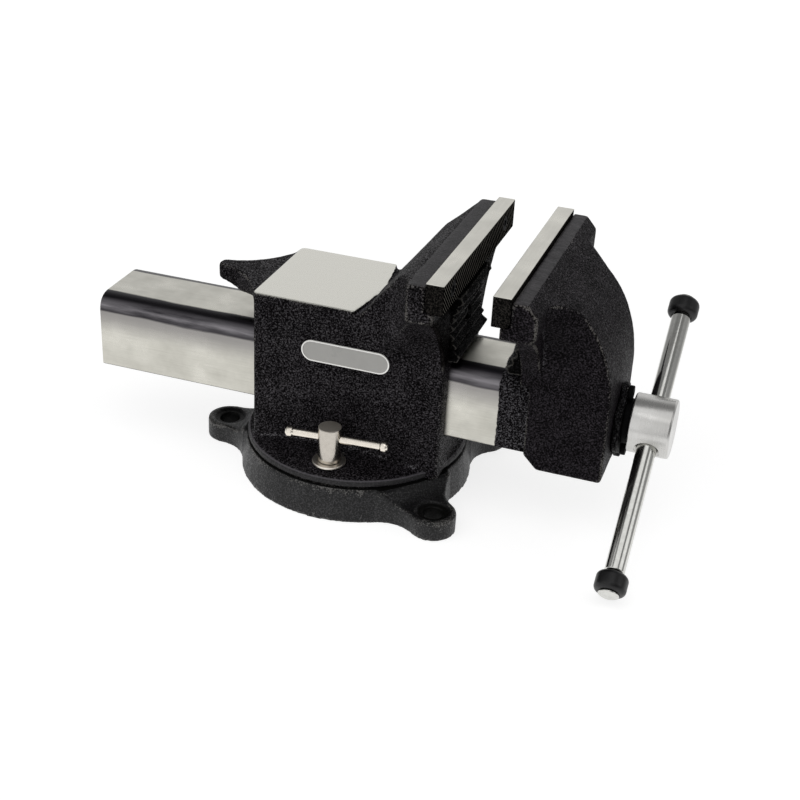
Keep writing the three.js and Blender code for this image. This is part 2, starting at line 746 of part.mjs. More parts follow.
// Slide bar: a ground box bar, open below for the nut, that goes into the moving jaw.
function slideBar() {
  const cavityTopZ = barTopZ - barRoof;
  const cavity = outline([
    [-cavityHalf, barBottomZ - overrun],
    [cavityHalf, barBottomZ - overrun],
    [cavityHalf, cavityTopZ, barEdgeRound],
    [-cavityHalf, cavityTopZ, barEdgeRound],
  ]);
  let made = run(barSection(0), "x", barRearX, barFrontX)
    .subtract(run(cavity, "x", barRearX - overrun, barFrontX + overrun));
  for (const { y } of barPinPlaces()) {
    const hole = pin(barPinRadius + seat, barBottomZ - overrun, webBottomZ + 2 * seat + barPinLength);
    made = made.subtract(moved(hole, barPinX(), y, 0));
  }
  return piece("slide_bar", made, groundSteel);
}

function barPinX() {
  return webFrontX + barSocket / 2;
}

function barPinPlaces() {
  const y = (cavityHalf + barHalf) / 2;
  return [{ end: "near", y: -y }, { end: "far", y }];
}

// Moving jaw casting: web with a rounded back, socket for the bar, spindle bore and head.
function movingJaw() {
  const roofZ = barTopZ + seat;
  const crownX = movingSeatX + webCrownRun;
  const side = new THREE.Shape();
  side.moveTo(webFrontX, roofZ);
  side.lineTo(webFrontX, webBottomZ + webToe);
  side.lineTo(webFrontX + webToe, webBottomZ);
  side.lineTo(webBackX - webHeel, webBottomZ);
  side.lineTo(webBackX, webBottomZ + webHeel);
  side.lineTo(webBackX, webShoulderZ);
  side.absellipse(crownX, webShoulderZ, webBackX - crownX, webCrownZ - webShoulderZ, 0, Math.PI / 2, false);
  side.lineTo(movingSeatX, ledgeTopZ);
  side.lineTo(movingSeatX, roofZ);
  side.closePath();
  const backX = movingSeatX + movingBack;
  const head = outline([
    [movingFaceX + ledgeSetback, ledgeBottomZ],
    [movingFaceX + ledgeSetback, ledgeTopZ],
    [movingSeatX, ledgeTopZ],
    [movingSeatX, castTopZ],
    [movingSeatX + movingTop, castTopZ],
    [backX, castTopZ - movingBackDrop],
    [backX, ledgeBottomZ + movingHeadToe],
    [backX - movingHeadToe, ledgeBottomZ],
  ].reverse());
  const sweepEndX = backX - movingHeadToe;
  const bend = [(sweepEndX + sweepStartX) / 2, webHalf + sweepBend];
  const plan = new THREE.Shape();
  plan.moveTo(movingSeatX, -sweepHalf);
  plan.lineTo(sweepEndX, -sweepHalf);
  plan.quadraticCurveTo(bend[0], -bend[1], sweepStartX, -webHalf);
  plan.lineTo(sweepStartX, webHalf);
  plan.quadraticCurveTo(bend[0], bend[1], sweepEndX, sweepHalf);
  plan.lineTo(movingSeatX, sweepHalf);
  plan.closePath();
  const flareZ = ledgeBottomZ + seat - movingFlareDrop;
  const sweepZ = castTopZ - movingBackDrop - sweepDrop;
  const flare = run(headFront(webHalf, flareZ, movingFlareDrop, roofZ + overrun), "x", movingSeatX, sweepEndX);
  const sweep = run(headFront(webHalf, sweepZ, sweepDrop, roofZ + overrun), "x", movingSeatX, sweepStartX)
    .intersect(run(plan, "z", roofZ, webCrownZ));
  let made = run(side, "y", -webHalf, webHalf, arcSteps + 2)
    .add(run(head, "y", -jawHalf, jawHalf))
    .add(flare.add(sweep).intersect(run(side, "y", -jawHalf, jawHalf, arcSteps + 2)));
  made = made.subtract(run(barSection(seat), "x", movingFaceX, barFrontX + seat));
  made = made.subtract(run(outline([
    [movingFaceX, pipeBottomZ - seat],
    [movingFaceX + pipeJawThick + seat, pipeBottomZ - seat],
    [movingFaceX + pipeJawThick + seat, ledgeBottomZ],
    [movingFaceX, ledgeBottomZ],
  ]), "y", -pipeJawHalf - seat, pipeJawHalf + seat));
  const bore = pin(journalRadius + turnFit, barFrontX, webBackX + overrun, "x", roundMedium);
  made = made.subtract(moved(bore, 0, 0, spindleZ));
  const turnedRound = (room) => room.rotate([0, 0, 180]);
  for (const y of [-plateScrewReach, plateScrewReach]) {
    made = made.subtract(moved(turnedRound(screwRoom(plateScrew, 0)), movingFaceX + seat, y, plateMidZ));
  }
  const screwX = movingFaceX + fixedFaceX - pipeScrewX();
  made = made.subtract(moved(turnedRound(screwRoom(pipeScrew, 0)), screwX, 0, pipeMidZ));
  for (const z of coverScrewPlaces()) {
    made = made.subtract(moved(screwRoom(coverScrew, 0), coverX + coverThick + coverScrew.headHeight, 0, z));
  }
  for (const { y } of barPinPlaces()) {
    made = made.subtract(moved(pin(barPinRadius + seat, webBottomZ - overrun, barBottomZ + overrun), barPinX(), y, 0));
  }
  return piece("moving_jaw", made, castPaint);
}

function barPins() {
  return barPinPlaces().map(({ end, y }) => {
    const made = pin(barPinRadius, webBottomZ + seat, webBottomZ + seat + barPinLength);
    return piece(`slide_bar_pin_${end}`, moved(made, barPinX(), y, 0), darkSteel);
  });
}

function coverScrewPlaces() {
  return [spindleZ - coverLobeReach, spindleZ + coverLobeReach];
}

// The cover that holds the spindle in the moving jaw: a ring with a lobe above and below.
function spindleCover() {
  let made = pin(coverRadius, coverX, coverX + coverThick, "x", roundMedium);
  const lobe = pin(coverLobeRadius, coverX, coverX + coverThick, "x");
  made = made.add(moved(lobe, 0, 0, coverLobeReach)).add(moved(lobe, 0, 0, -coverLobeReach));
  made = made.subtract(pin(journalRadius + turnFit, coverX - overrun, coverX + coverThick + overrun, "x", roundMedium));
  for (const z of [-coverLobeReach, coverLobeReach]) {
    const hole = pin(coverScrew.shank + seat, coverX - overrun, coverX + coverThick + overrun, "x");
    made = made.subtract(moved(hole, 0, 0, z));
  }
  return piece("spindle_cover", moved(made, 0, 0, spindleZ), castPaint);
}

function coverScrews() {
  const headX = coverX + coverThick + seat + coverScrew.headHeight;
  return coverScrewPlaces().map((z, i) => {
    const name = `cover_screw_${["lower", "upper"][i]}`;
    return piece(name, moved(socketScrew(coverScrew), headX, 0, z), darkSteel);
  });
}

// The threaded rod of the spindle: one turn of the thread's outline swept along a right-hand helix.
function threadedRod(fromX, toX) {
  const section = [
    [-pitch * threadRootShare, threadRootRadius],
    [-pitch * threadCrestShare, threadRadius],
    [pitch * threadCrestShare, threadRadius],
    [pitch * threadRootShare, threadRootRadius],
  ];
  const steps = Math.floor(((toX - fromX) / pitch) * threadSteps);
  const top = section.length - 1;
  const position = [];
  const index = [];
  for (let step = 0; step <= steps; step += 1) {
    const angle = (2 * Math.PI * step) / threadSteps;
    const x = fromX + (pitch * step) / threadSteps;
    for (const [shift, radius] of section) {
      position.push(x + shift, radius * Math.cos(angle), radius * Math.sin(angle));
    }
  }
  const at = (step, side) => step * section.length + side;
  const quad = (a, b, c, d) => index.push(a, b, c, a, c, d);
  for (let step = 0; step < steps; step += 1) {
    for (let side = 0; side < top; side += 1) {
      quad(at(step, side), at(step, side + 1), at(step + 1, side + 1), at(step + 1, side));
    }
    const next = step + threadSteps;
    if (next < steps) quad(at(step, top), at(next, 0), at(next + 1, 0), at(step + 1, top));
  }
  // Each end closes in a fan from a point on the axis round the edge of its last turn.
  const first = [...Array(threadSteps + 1).keys()].map((step) => at(step, 0)).reverse();
  const startEdge = [...first, ...section.keys()].filter((v, i, all) => v !== all[i - 1]);
  const lastTurn = [...Array(threadSteps + 1).keys()].map((step) => at(steps - threadSteps + step, top));
  const endEdge = [...lastTurn, ...[...section.keys()].reverse().map((side) => at(steps, side))]
    .filter((v, i, all) => v !== all[i - 1]);
  for (const [edge, x] of [[startEdge, fromX - pitch * threadRootShare], [endEdge, toX + pitch * threadRootShare]]) {
    const centre = position.length / 3;
    position.push(x, 0, 0);
    edge.forEach((v, i) => index.push(centre, edge[(i + 1) % edge.length], v));
  }
  const geometry = new THREE.BufferGeometry();
  geometry.setAttribute("position", new THREE.Float32BufferAttribute(position, 3));
  geometry.setIndex(index);
  return solid(geometry);
}

// Spindle: hub with the cross bore, plain journal, collar seat and thread, built about the X axis.
function spindle() {
  const threadEndX = barFrontX - collarLength - pitch;
  const shaft = turned([
    [0, threadEndX],
    [journalRadius, threadEndX],
    [journalRadius, hubX],
    [hubRadius - hubChamfer, hubX],
    [hubRadius, hubX + hubChamfer],
    [hubRadius, hubX + hubLength - hubChamfer],
    [hubRadius - hubChamfer, hubX + hubLength],
    [0, hubX + hubLength],
  ], "x", roundMedium);
  const rod = threadedRod(-spindleTail, threadEndX);
  const cross = pin(handleRadius + turnFit, -hubRadius - overrun, hubRadius + overrun, "z", roundMedium);
  const turnedCross = moved(cross.rotate([handleAngle - 90, 0, 0]), hubMidX, 0, 0);
  const pinHole = moved(pin(collarPinRadius + seat, -collarRadius, collarRadius), collarPinX(), 0, 0);
  return piece("spindle", shaft.add(rod).subtract(turnedCross).subtract(pinHole), groundSteel);
}

function collarPinX() {
  return barFrontX - collarLength / 2;
}

// The collar behind the moving jaw wall, and the pin that holds it on the spindle.
function spindleCollar() {
  const made = ring(journalRadius + seat, collarRadius, barFrontX - collarLength, barFrontX, "x");
  const hole = moved(pin(collarPinRadius + seat, -collarRadius - overrun, collarRadius + overrun), collarPinX(), 0, 0);
  return piece("spindle_collar", made.subtract(hole), darkSteel);
}

function collarPin() {
  const half = collarRadius - seat;
  return piece("collar_pin", moved(pin(collarPinRadius, -half, half), collarPinX(), 0, 0), darkSteel);
}

function thrustWasher() {
  const made = ring(journalRadius + turnFit, thrustWasherRadius, thrustX, thrustX + thrustWasherThick, "x");
  return piece("thrust_washer", made, darkSteel);
}

// Handle bar about the Z axis: shoulders, necks for the knobs and a riveted head at each end.
function handleBar() {
  const half = knobLength / 2;
  const end = (reach, way) => [
    [neckRadius, way * (reach - half)],
    [neckRadius, way * (reach + half)],
    [rivetRadius, way * (reach + half + seat)],
    [rivetRadius, way * (reach + half + seat + rivetLength / 2)],
    [neckRadius, way * (reach + half + seat + rivetLength)],
    [0, way * (reach + half + seat + rivetLength)],
  ];
  const shoulder = handleRadius - neckRadius;
  const lower = end(handleLower, -1).reverse();
  const upper = end(handleUpper, 1);
  return piece("handle_bar", turned([
    ...lower,
    [handleRadius, -handleLower + half + shoulder],
    [handleRadius, handleUpper - half - shoulder],
    ...upper,
  ], "z", roundMedium - arcSteps), platedSteel);
}

// A rubber knob: a thick ring on the neck of the handle bar.
function knob(name, place) {
  const bore = neckRadius + seat;
  const half = knobLength / 2 - seat;
  const made = turned([
    [bore, -half],
    [knobRadius - knobEdge, -half],
    [knobRadius, -half + knobEdge],
    [knobRadius, half - knobEdge],
    [knobRadius - knobEdge, half],
    [bore, half],
    [bore, -half],
  ], "z", roundMedium - arcSteps);
  return piece(name, moved(made, 0, 0, place), rubber);
}

function handle() {
  const made = group(hubMidX, 0, spindleZ,
    handleBar(), knob("handle_knob_upper", handleUpper), knob("handle_knob_lower", -handleLower));
  made.rotation.x = radians(handleAngle - 90);
  return made;
}

const fixedJaw = group(fixedFaceX, 0, 0, ...jawFittings("fixed"));
const movingFittings = group(movingFaceX, 0, 0, ...jawFittings("moving"));
movingFittings.rotation.z = Math.PI;

const vise = new THREE.Group();
vise.add(
  swivelBase(),
  group(0, 0, 0, viseBody(), pivotPin(), spindleNut(), ...spindleNutBolts(), badge()),
  fixedJaw,
  ...lockPlaces().flatMap((place) => [lockBolt(place), lockPost(place)]),
  group(0, 0, 0, movingJaw(), slideBar(), ...barPins(), spindleCover(), ...coverScrews()),
  movingFittings,
  group(0, 0, spindleZ, spindle(), spindleCollar(), collarPin(), thrustWasher()),
  handle(),
);

export default vise;
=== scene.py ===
"""Looks of a parallel bench vise with a swivel base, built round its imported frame."""

import json
import logging
import math
from collections.abc import Callable, Iterator
from contextlib import contextmanager
from dataclasses import dataclass
from enum import Enum
from functools import cached_property

import bmesh
import bpy
import numpy as np
from mathutils import Matrix, Vector

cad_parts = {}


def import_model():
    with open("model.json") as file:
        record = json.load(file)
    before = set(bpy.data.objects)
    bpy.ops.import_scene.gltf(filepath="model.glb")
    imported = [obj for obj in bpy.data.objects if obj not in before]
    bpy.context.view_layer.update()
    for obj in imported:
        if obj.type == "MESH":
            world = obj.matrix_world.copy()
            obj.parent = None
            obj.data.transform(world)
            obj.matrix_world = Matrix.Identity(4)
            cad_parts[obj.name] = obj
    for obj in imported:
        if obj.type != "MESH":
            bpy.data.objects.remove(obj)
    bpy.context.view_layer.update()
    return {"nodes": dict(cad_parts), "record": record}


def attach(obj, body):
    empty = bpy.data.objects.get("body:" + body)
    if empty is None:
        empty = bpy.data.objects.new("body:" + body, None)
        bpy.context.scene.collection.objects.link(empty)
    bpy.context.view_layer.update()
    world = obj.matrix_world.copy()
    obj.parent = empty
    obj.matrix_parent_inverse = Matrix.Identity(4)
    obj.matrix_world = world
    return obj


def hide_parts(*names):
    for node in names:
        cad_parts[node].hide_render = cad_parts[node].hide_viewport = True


log = logging.getLogger("vise")

MM = 0.001  # metres in a millimetre
WIDE = 1000.0  # in millimetres, a limit past everything
SPINDLE_Z = 69.7  # of the spindle's axis, in millimetres
HANDLE_ANGLE = 31.5  # of the handle from level, in degrees
LUG_CIRCLE = 91.5  # from the swivel's axis to the base's bolt holes, in millimetres
LUG_BEARINGS = (180, 39, -39)  # of the bolt holes, in degrees from +X
RECESS_SHADE = "#0b0b0a"  # painted shade for recesses and gaps, dark and dull

Path = list[tuple[float, float]]
Corner = tuple[float, ...]
Mesh = bpy.types.Mesh
Thing = bpy.types.Object
Socket = bpy.types.NodeSocket
Value = Socket | float | str | None


class Axis(Enum):
    """The axis that an outline is run along, or that a profile is turned about."""

    X = 0
    Y = 1
    Z = 2


class Side(Enum):
    """The side of the vise that a lock is on, by the sign of its Y."""

    FRONT = -1
    REAR = 1


class JawSide(Enum):
    """Which jaw a set of fittings belongs to."""

    FIXED = "fixed"
    MOVING = "moving"


def to_linear(code: str) -> tuple[float, ...]:
    """Turns an sRGB hex colour to linear, with an alpha of 1."""
    shares = [int(code[i : i + 2], 16) / 255 for i in (1, 3, 5)]
    return *(s / 12.92 if s <= 0.04045 else ((s + 0.055) / 1.055) ** 2.4 for s in shares), 1.0


def per_mm(size: float) -> float:
    """Returns the scale of a pattern in metres whose features are a size in millimetres."""
    return 1 / (size * MM)


def outline(corners: list[Corner], radius: float = 0, steps: int = 6, closed: bool = True) -> Path:
    """Rounds the corners of a flat path.

    Args:
        corners: Across and up in millimetres, with the corner's size where it has its own.
        radius: The corner size where a point gives none.
        steps: Straight bits in each round corner.
        closed: Whether the path runs round. An open path keeps its two ends.

    Returns:
        The points of the path, none twice in a row.
    """
    made: list[Vector] = []
    for i, corner in enumerate(corners):
        here = Vector(corner[:2])
        size = corner[2] if len(corner) > 2 else radius
        if size == 0 or (not closed and i in (0, len(corners) - 1)):
            made.append(here)
            continue
        before = Vector(corners[i - 1][:2]) - here
        after = Vector(corners[(i + 1) % len(corners)][:2]) - here
        reach = min(size / math.tan(before.angle(after) / 2), before.length / 2, after.length / 2)
        first, last = here + before.normalized() * reach, here + after.normalized() * reach
        for share in (step / steps for step in range(steps + 1)):
            made.append(first * (1 - share) ** 2 + here * (2 * share * (1 - share)) + last * share**2)
    apart = [p for i, p in enumerate(made) if i == 0 or (p - made[i - 1]).length > 1e-5]
    return [(p.x, p.y) for p in apart]


def block(low: Corner, high: Corner, radius: float = 0, steps: int = 3) -> Path:
    """Returns a rectangle between two corners, its own corners rounded."""
    return outline([low, (high[0], low[1]), high, (low[0], high[1])], radius, steps)


@contextmanager
def scratch(mesh: Mesh) -> Iterator[Thing]:
    """Lends an object for a mesh, and removes both in the end.

    Args:
        mesh: The mesh, which is removed too.

    Yields:
        The object.
    """
    thing = bpy.data.objects.new("scratch", mesh)
    bpy.context.collection.objects.link(thing)
    yield thing
    bpy.data.objects.remove(thing)
    bpy.data.meshes.remove(mesh)


def through(mesh: Mesh, kind: str, **settings: object) -> Mesh:
    """Puts a scratch mesh through one modifier.

    Args:
        mesh: The mesh, which is removed.
        kind: The modifier's type.
        settings: Its settings.

    Returns:
        The mesh that comes out.
    """
    with scratch(mesh) as thing:
        step = thing.modifiers.new("step", kind)
        for name, value in settings.items():
            setattr(step, name, value)
        return bpy.data.meshes.new_from_object(thing.evaluated_get(bpy.context.evaluated_depsgraph_get()))


def read(rows: bpy.types.bpy_prop_collection, name: str, wide: int = 3, kind: type = float) -> np.ndarray:
    """Reads one value of a mesh's points, edges or normals into rows.

    Args:
        rows: The points, edges or normals.
        name: The value's name.
        wide: How many numbers each has.
        kind: Their type.

    Returns:
        One row for each.
    """
    made = np.empty(len(rows) * wide, dtype=kind)
    rows.foreach_get(name, made)
    return made.reshape(-1, wide)


@dataclass
class Shape:
    """Points in millimetres and the faces between them."""

    points: np.ndarray
    faces: list[tuple[int, ...]]

    @classmethod
    def skin(cls, rows: np.ndarray) -> "Shape":
        """Returns the closed shape through a row of outlines that have as many points each.

        Args:
            rows: The outlines' points in millimetres, one outline a row.

        Returns:
            The closed shape.
        """
        count, last = rows.shape[1], len(rows) - 1
        faces = [tuple(range(count)), tuple(range(count * last, count * (last + 1)))]
        for low in range(0, count * last, count):
            turns = [(i, (i + 1) % count) for i in range(count)]
            faces += [(low + a, low + b, low + count + b, low + count + a) for a, b in turns]
        return cls(rows.reshape(-1, 3), faces)

    @classmethod
    def run(cls, path: Path, axis: Axis, start: float, stop: float) -> "Shape":
        """Runs a closed outline along an axis, from start to stop."""
        rows = [[np.insert(p, axis.value, place) for p in path] for place in (start, stop)]
        return cls.skin(np.array(rows))

    @classmethod
    def turned(cls, profile: Path, axis: Axis = Axis.Z, facets: int = 72) -> "Shape":
        """Turns a profile about an axis.

        Args:
            profile: Radius and place on the axis. One that ends where it starts makes a ring.
            axis: The axis of the shape.
            facets: Faces round it.

        Returns:
            The closed shape.
        """
        ring = profile[0] == profile[-1]
        points: list[np.ndarray] = []
        rows: list[list[int]] = []
        for radius, place in profile[:-1] if ring else profile:
            count = facets if radius > 0 else 1
            rows.append(list(range(len(points), len(points) + count)))
            for angle in (2 * math.pi * i / facets for i in range(count)):
                across = (radius * math.cos(angle), radius * math.sin(angle))
                points.append(np.insert(across, axis.value, place))
        faces = []
        for low, high in zip(rows, rows[1:] + rows[:1] if ring else rows[1:]):
            for i in range(facets):
                a, b = i % len(low), (i + 1) % facets % len(low)
                c, d = (i + 1) % facets % len(high), i % len(high)
                faces.append(tuple(dict.fromkeys((low[a], low[b], high[c], high[d]))))
        return cls(np.array(points), [f for f in faces if len(f) > 2])

    @classmethod
    def lathe(
        cls, corners: list[Corner], axis: Axis = Axis.Z, facets: int = 72, steps: int = 3, edge: float = 0
    ) -> "Shape":
        """Turns an open profile whose corners are rounded, by edge where they give no size."""
        return cls.turned(outline(corners, edge, steps, closed=False), axis, facets)

    @classmethod
    def pin(cls, radius: float, start: float, stop: float, axis: Axis = Axis.Z, edge: float = 0) -> "Shape":
        """Makes a pin, its rims rounded by edge."""
        return cls.lathe([(0, start), (radius, start), (radius, stop), (0, stop)], axis, 48, edge=edge)

    @classmethod
    def ring(
        cls, inner: float, outer: float, low: float, high: float, edge: float, axis: Axis = Axis.Z
    ) -> "Shape":
        """Makes a ring between two radii and two places on its axis, rounded by edge."""
        path = block((inner, low), (outer, high), edge)
        return cls.turned(path + path[:1], axis)

    @classmethod
    def of_mesh(cls, mesh: Mesh, unit: float = 1) -> "Shape":
        """Reads a mesh that measures a millimetre as unit."""
        return cls(read(mesh.vertices, "co") / unit, [tuple(p.vertices) for p in mesh.polygons])

    @classmethod
    def taken(cls, mesh: Mesh) -> "Shape":
        """Reads a scratch mesh in millimetres and removes it.

        Args:
            mesh: The mesh, in millimetres.

        Returns:
            Its shape.
        """
        made = cls.of_mesh(mesh)
        bpy.data.meshes.remove(mesh)
        return made

    def moved(self, x: float = 0, y: float = 0, z: float = 0) -> "Shape":
        """Returns the shape moved by a distance in millimetres."""
        return Shape(self.points + np.array((x, y, z)), self.faces)

    def spun(self, degrees: float, axis: Axis = Axis.Z) -> "Shape":
        """Returns the shape turned about an axis through the origin."""
        turn = np.array(Matrix.Rotation(math.radians(degrees), 3, axis.name))
        return Shape(self.points @ turn.T, self.faces)

    def mesh(self, name: str = "scratch") -> Mesh:
        """Makes a mesh in millimetres, its faces outward and its doubled points merged.

        Args:
            name: The mesh's name.

        Returns:
            The mesh.
        """
        mesh = bpy.data.meshes.new(name)
        mesh.from_pydata(self.points.tolist(), [], self.faces)
        work = bmesh.new()
        work.from_mesh(mesh)
        bmesh.ops.remove_doubles(work, verts=work.verts, dist=1e-5)
        bmesh.ops.recalc_face_normals(work, faces=work.faces)
        work.to_mesh(mesh)
        work.free()
        return mesh

    def combined(self, operation: str, others: tuple["Shape", ...]) -> "Shape":
        """Joins other shapes to this one in turn, by a DIFFERENCE or a UNION.

        Args:
            operation: DIFFERENCE or UNION.
            others: The shapes, in turn.

        Returns:
            The new shape.
        """
        mesh = self.mesh()
        for other in others:
            with scratch(other.mesh()) as tool:
                mesh = through(mesh, "BOOLEAN", operation=operation, object=tool, solver="EXACT")
        return Shape.taken(mesh)

    def cut(self, *others: "Shape") -> "Shape":
        """Returns the shape with others cut from it."""
        return self.combined("DIFFERENCE", others)

    def fused(self, *others: "Shape") -> "Shape":
        """Returns the shape with others fused to it."""
        return self.combined("UNION", others)

    def bevelled(self, width: float, segments: int = 2, angle: float = 40) -> "Shape":
        """Returns the shape with its edges rounded that turn by more than an angle in degrees."""
        limit = math.radians(angle)
        return Shape.taken(through(self.mesh(), "BEVEL", width=width, segments=segments, angle_limit=limit))


def add_node(
    tree: bpy.types.NodeTree, kind: str, inputs: dict | tuple = (), **settings: object
) -> bpy.types.NodeOutputs:
    """Adds one node with its settings and links.

    Args:
        tree: The node tree.
        kind: The node's type, without its ShaderNode prefix.
        inputs: By name or number, or in order: a value, a hex colour or an output to link.
        settings: The node's own settings.

    Returns:
        The new node's outputs.
    """
    node = tree.nodes.new(f"ShaderNode{kind}")
    for name, value in settings.items():
        setattr(node, name, value)
    for name, value in inputs.items() if isinstance(inputs, dict) else enumerate(inputs):
        if isinstance(value, Socket):
            tree.links.new(value, node.inputs[name])
        else:
            node.inputs[name].default_value = to_linear(value) if isinstance(value, str) else value
    return node.outputs


# The Principled shader's socket for each quality of a surface.
QUALITIES = {
    "colour": "Base Color",
    "rough": "Roughness",
    "shine": "Specular IOR Level",
    "metal": "Metallic",
    "bump": "Normal",
}
# What the Mix node calls a quality, its first socket for it and its output. Others are plain numbers.
MIXES = {"colour": ("RGBA", 6, 2), "bump": ("VECTOR", 4, 1)}


@dataclass
class Layer:
    """A layer of a surface while its nodes are laid. Each quality is an output, a number or a hex colour."""

    tree: bpy.types.NodeTree
    coords: Socket
    colour: Value = None
    rough: Value = None
    shine: Value = None
    metal: Value = None
    bump: Value = None
    plain_shine: float | None = None

    @cached_property
    def place(self) -> tuple[Socket, ...]:
        """Returns where the point is as X, Y and Z, in metres."""
        return tuple(self.add("SeparateXYZ", (self.coords,)))

    def add(self, kind: str, inputs: dict | tuple = (), **settings: object) -> bpy.types.NodeOutputs:
        """Adds a node to the layer's tree and returns its outputs."""
        return add_node(self.tree, kind, inputs, **settings)

    def other(self, **qualities: Value) -> "Layer":
        """Returns another layer of the same surface."""
        return Layer(self.tree, self.coords, **qualities)

    def cover(self, mask: Socket, **values: Value) -> None:
        """Covers a place with other qualities.

        Args:
            mask: The place, from 0 to 1.
            values: The qualities there, by name.
        """
        for name, value in values.items():
            kind, first, out = MIXES.get(name, ("FLOAT", 2, 0))
            inputs = {0: mask, first: getattr(self, name), first + 1: value}
            setattr(self, name, self.add("Mix", inputs, data_type=kind)[out])

    def band(self, place: Socket, low: float, high: float, soft: float) -> Socket:
        """Masks a band along an axis.

        Args:
            place: Where the point is on the axis, in metres.
            low: Where the band begins, in millimetres.
            high: Where it ends.
            soft: How far its two ends fade.

        Returns:
            The mask, 1 in the band.
        """
        start = self.add("MapRange", (place, (low - soft) * MM, low * MM))[0]
        stop = self.add("MapRange", (place, (high + soft) * MM, high * MM))[0]
        return self.add("Math", (start, stop), operation="MULTIPLY")[0]

    def ring(self, inner: float, outer: float) -> Socket:
        """Masks what lies between two radii from the swivel's axis.

        Args:
            inner: The smaller radius in millimetres.
            outer: The larger one.

        Returns:
            The mask, 1 in the ring.
        """
        flat = self.add("VectorMath", (self.coords, (1, 1, 0)), operation="MULTIPLY")[0]
        out = self.add("VectorMath", (flat,), operation="LENGTH")["Value"]
        return self.band(out, inner, outer, 0.1)

    def join(self, shader: bpy.types.Node) -> None:
        """Gives the shader what the layer has, a number on the shader's own socket.

        Args:
            shader: The material's Principled shader.
        """
        if self.plain_shine is not None:
            shader.inputs["Specular IOR Level"].default_value = self.plain_shine
        for name, socket in QUALITIES.items():
            value = getattr(self, name)
            if isinstance(value, Socket):
                self.tree.links.new(value, shader.inputs[socket])
            elif value is not None:
                shader.inputs[socket].default_value = value


@dataclass(frozen=True)
class Finish:
    """What every finish has: its material's name and the record's slot that it stands for."""

    name: str
    slot: str

    def material(self) -> bpy.types.Material:
        """Returns the finish's material, laid the first time that it is asked for.

        Returns:
            The material.
        """
        made = bpy.data.materials.get(self.name)
        if made is None:
            made = bpy.data.materials.new(self.name)
            made.use_nodes = True
            surface = Layer(made.node_tree, add_node(made.node_tree, "TexCoord")["Object"])
            self.lay(surface)
            surface.join(made.node_tree.nodes["Principled BSDF"])
        return made

    def lay(self, surface: Layer) -> None:
        """Lays the finish's nodes on a surface."""
        raise NotImplementedError


